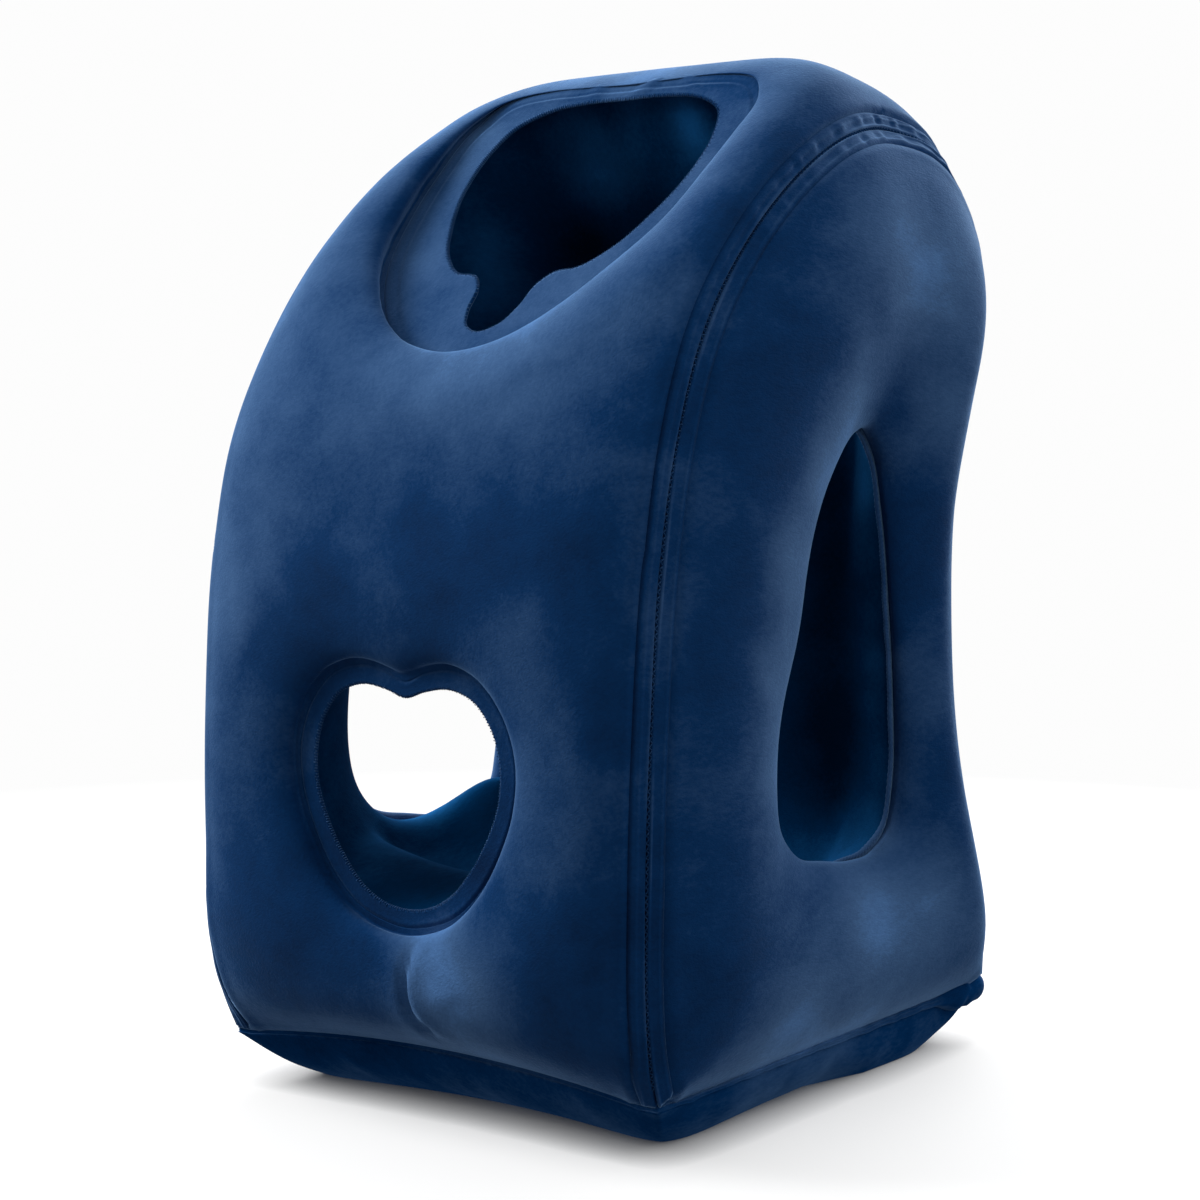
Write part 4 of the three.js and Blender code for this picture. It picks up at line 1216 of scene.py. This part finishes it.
body = air_body(flock)
pad = base_pad(shaded)
PIECES = [
    (body, "air_body", "flocked_skin"),
    (pad, "base_cushion", "flocked_skin"),
    (base_lap(shaded), "base_flange", "welded_edge"),
    (collar("face_collar_ring", face, flock, two_rows=True, wrinkles=face_wrinkles),
     "face_collar", "flocked_skin"),
    (collar("heart_collar_ring", heart, flock), "heart_collar", "flocked_skin"),
    (arm_rim(-1, flock), "arm_rim_left", "welded_edge"),
    (arm_rim(1, flock), "arm_rim_right", "welded_edge"),
    (seam_band(-1, flock), "seam_strip_left", "welded_edge"),
    (seam_band(1, flock), "seam_strip_right", "welded_edge"),
    (top_fold(flock), "top_tab", "welded_edge"),
    (seam_threads(-1, flock), None, "welded_edge"),
    (seam_threads(1, flock), None, "welded_edge"),
    (edge_threads("face_edge_stitches", face, flock, count=420, length=1.6), None, "welded_edge"),
    (edge_threads("heart_edge_stitches", heart, flock, count=260, length=1.0), None, "welded_edge"),
]
for piece, node, slot in PIECES:
    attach(piece, "root")
    if node:
        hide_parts(node)

smooth(body)
skin, outward = read(body)
skin_push = (sink_seams(skin) + front_crease(skin)) * (marks(body) < 0.5)
write(body, skin + outward * skin_push[:, None])
line_inside(body, shade_painted_flock)
for piece, _, _ in PIECES:
    paint_light_and_nap(piece)


# Studio: a white floor that meets a white world, soft boxes above and at the sides

# Each soft box's place and size in metres, and its power in watts
SOFT_BOXES = {
    "back_top": ((-0.6, 1.4, 1.5), (2.0, 1.2), 30),
    "back": ((0.0, 1.9, 0.8), (1.4, 1.4), 30),
    "left": ((-1.7, -0.9, 1.4), (1.2, 1.2), 50),
    "right": ((1.7, -0.5, 1.0), (1.2, 1.2), 6),
}
AIM = (0, 0, 0.3)
FLOOR_HALF = 6000
FLOOR_HEIGHT = -0.5


def soft_box(name, place, size, power):
    """A rectangular lamp that looks at the middle of the pillow."""
    light = bpy.data.lights.new(name, "AREA")
    light.shape = "RECTANGLE"
    light.size, light.size_y = size
    light.energy = power
    lamp = bpy.data.objects.new(name, light)
    bpy.context.scene.collection.objects.link(lamp)
    away = np.array(place, float) - AIM
    flat = math.hypot(away[0], away[1])
    lamp.location = place
    lamp.rotation_euler = (math.atan2(flat, away[2]), 0, math.atan2(away[0], -away[1]))


def pale_floor():
    """Near the pillow a white floor that takes soft shadows, further out the world's own white."""
    made, tree, shader = new_material("pale_floor", {
        "Base Color": (0.45, 0.45, 0.45, 1),
        "Roughness": 1.0,
        "Specular IOR Level": 0.0,
        "Emission Strength": 0.555,
    })
    # Ambient occlusion darkens the floor's glow near the pillow: a painted contact shadow.
    open_sky = shader_node(tree, "ShaderNodeAmbientOcclusion", samples=8, Distance=0.022)
    fill(tree, shader, {"Emission Color": open_sky.outputs["Color"]})
    far = shader_node(tree, "ShaderNodeEmission", Strength=0.98)
    place = shader_node(tree, "ShaderNodeTexCoord").outputs["Object"]
    away = shader_node(tree, "ShaderNodeVectorMath", place, operation="LENGTH")
    fade = shader_node(tree, "ShaderNodeMapRange", Value=away.outputs["Value"],
                       From_Min=0.35, From_Max=1.2)
    mix = shader_node(tree, "ShaderNodeMixShader", fade.outputs["Result"], shader.outputs["BSDF"],
                      far.outputs["Emission"])
    fill(tree, tree.nodes["Material Output"], {"Surface": mix.outputs["Shader"]})
    return made


def studio():
    """A white background, a world that lights the pillow from behind and above, soft boxes and a
    floor."""
    world = bpy.data.worlds.new("studio")
    bpy.context.scene.world = world
    world.use_nodes = True
    tree = world.node_tree
    seen = tree.nodes["Background"]
    fill(tree, seen, {"Color": (0.98, 0.98, 0.98, 1)})
    place = shader_node(tree, "ShaderNodeTexCoord").outputs["Generated"]
    above = shader_node(tree, "ShaderNodeVectorMath", place, (-0.45, 0.63, 0.63),
                        operation="DOT_PRODUCT")
    strength = shader_node(tree, "ShaderNodeMapRange", Value=above.outputs["Value"],
                           From_Min=-0.3, From_Max=1.0, To_Min=0.3, To_Max=1.3)
    lit = shader_node(tree, "ShaderNodeBackground", Strength=strength.outputs["Result"])
    ray = shader_node(tree, "ShaderNodeLightPath")
    mix = shader_node(tree, "ShaderNodeMixShader", ray.outputs["Is Camera Ray"],
                      lit.outputs["Background"], seen.outputs["Background"])
    fill(tree, tree.nodes["World Output"], {"Surface": mix.outputs["Shader"]})
    for name, (place, size, power) in SOFT_BOXES.items():
        soft_box(name, place, size, power)
    shell = Shell()
    span = np.linspace(-FLOOR_HALF, FLOOR_HALF, 3)
    across, along = np.meshgrid(span, span)
    shell.grid(np.stack([across, along, np.full_like(across, FLOOR_HEIGHT)], -1))
    floor = shell.mesh("studio_floor", pale_floor())
    floor.visible_diffuse = False


studio()


# Camera at the photograph's angle

lens = bpy.data.cameras.new("camera")
lens.lens = 72
lens.sensor_width = 36
camera = bpy.data.objects.new("camera", lens)
camera.location = (0.7553, -1.0725, 0.3388)
camera.rotation_euler = (math.radians(86.3), 0, math.radians(35.6))
bpy.context.scene.collection.objects.link(camera)
bpy.context.scene.camera = camera
bpy.context.scene.view_settings.view_transform = "Standard"
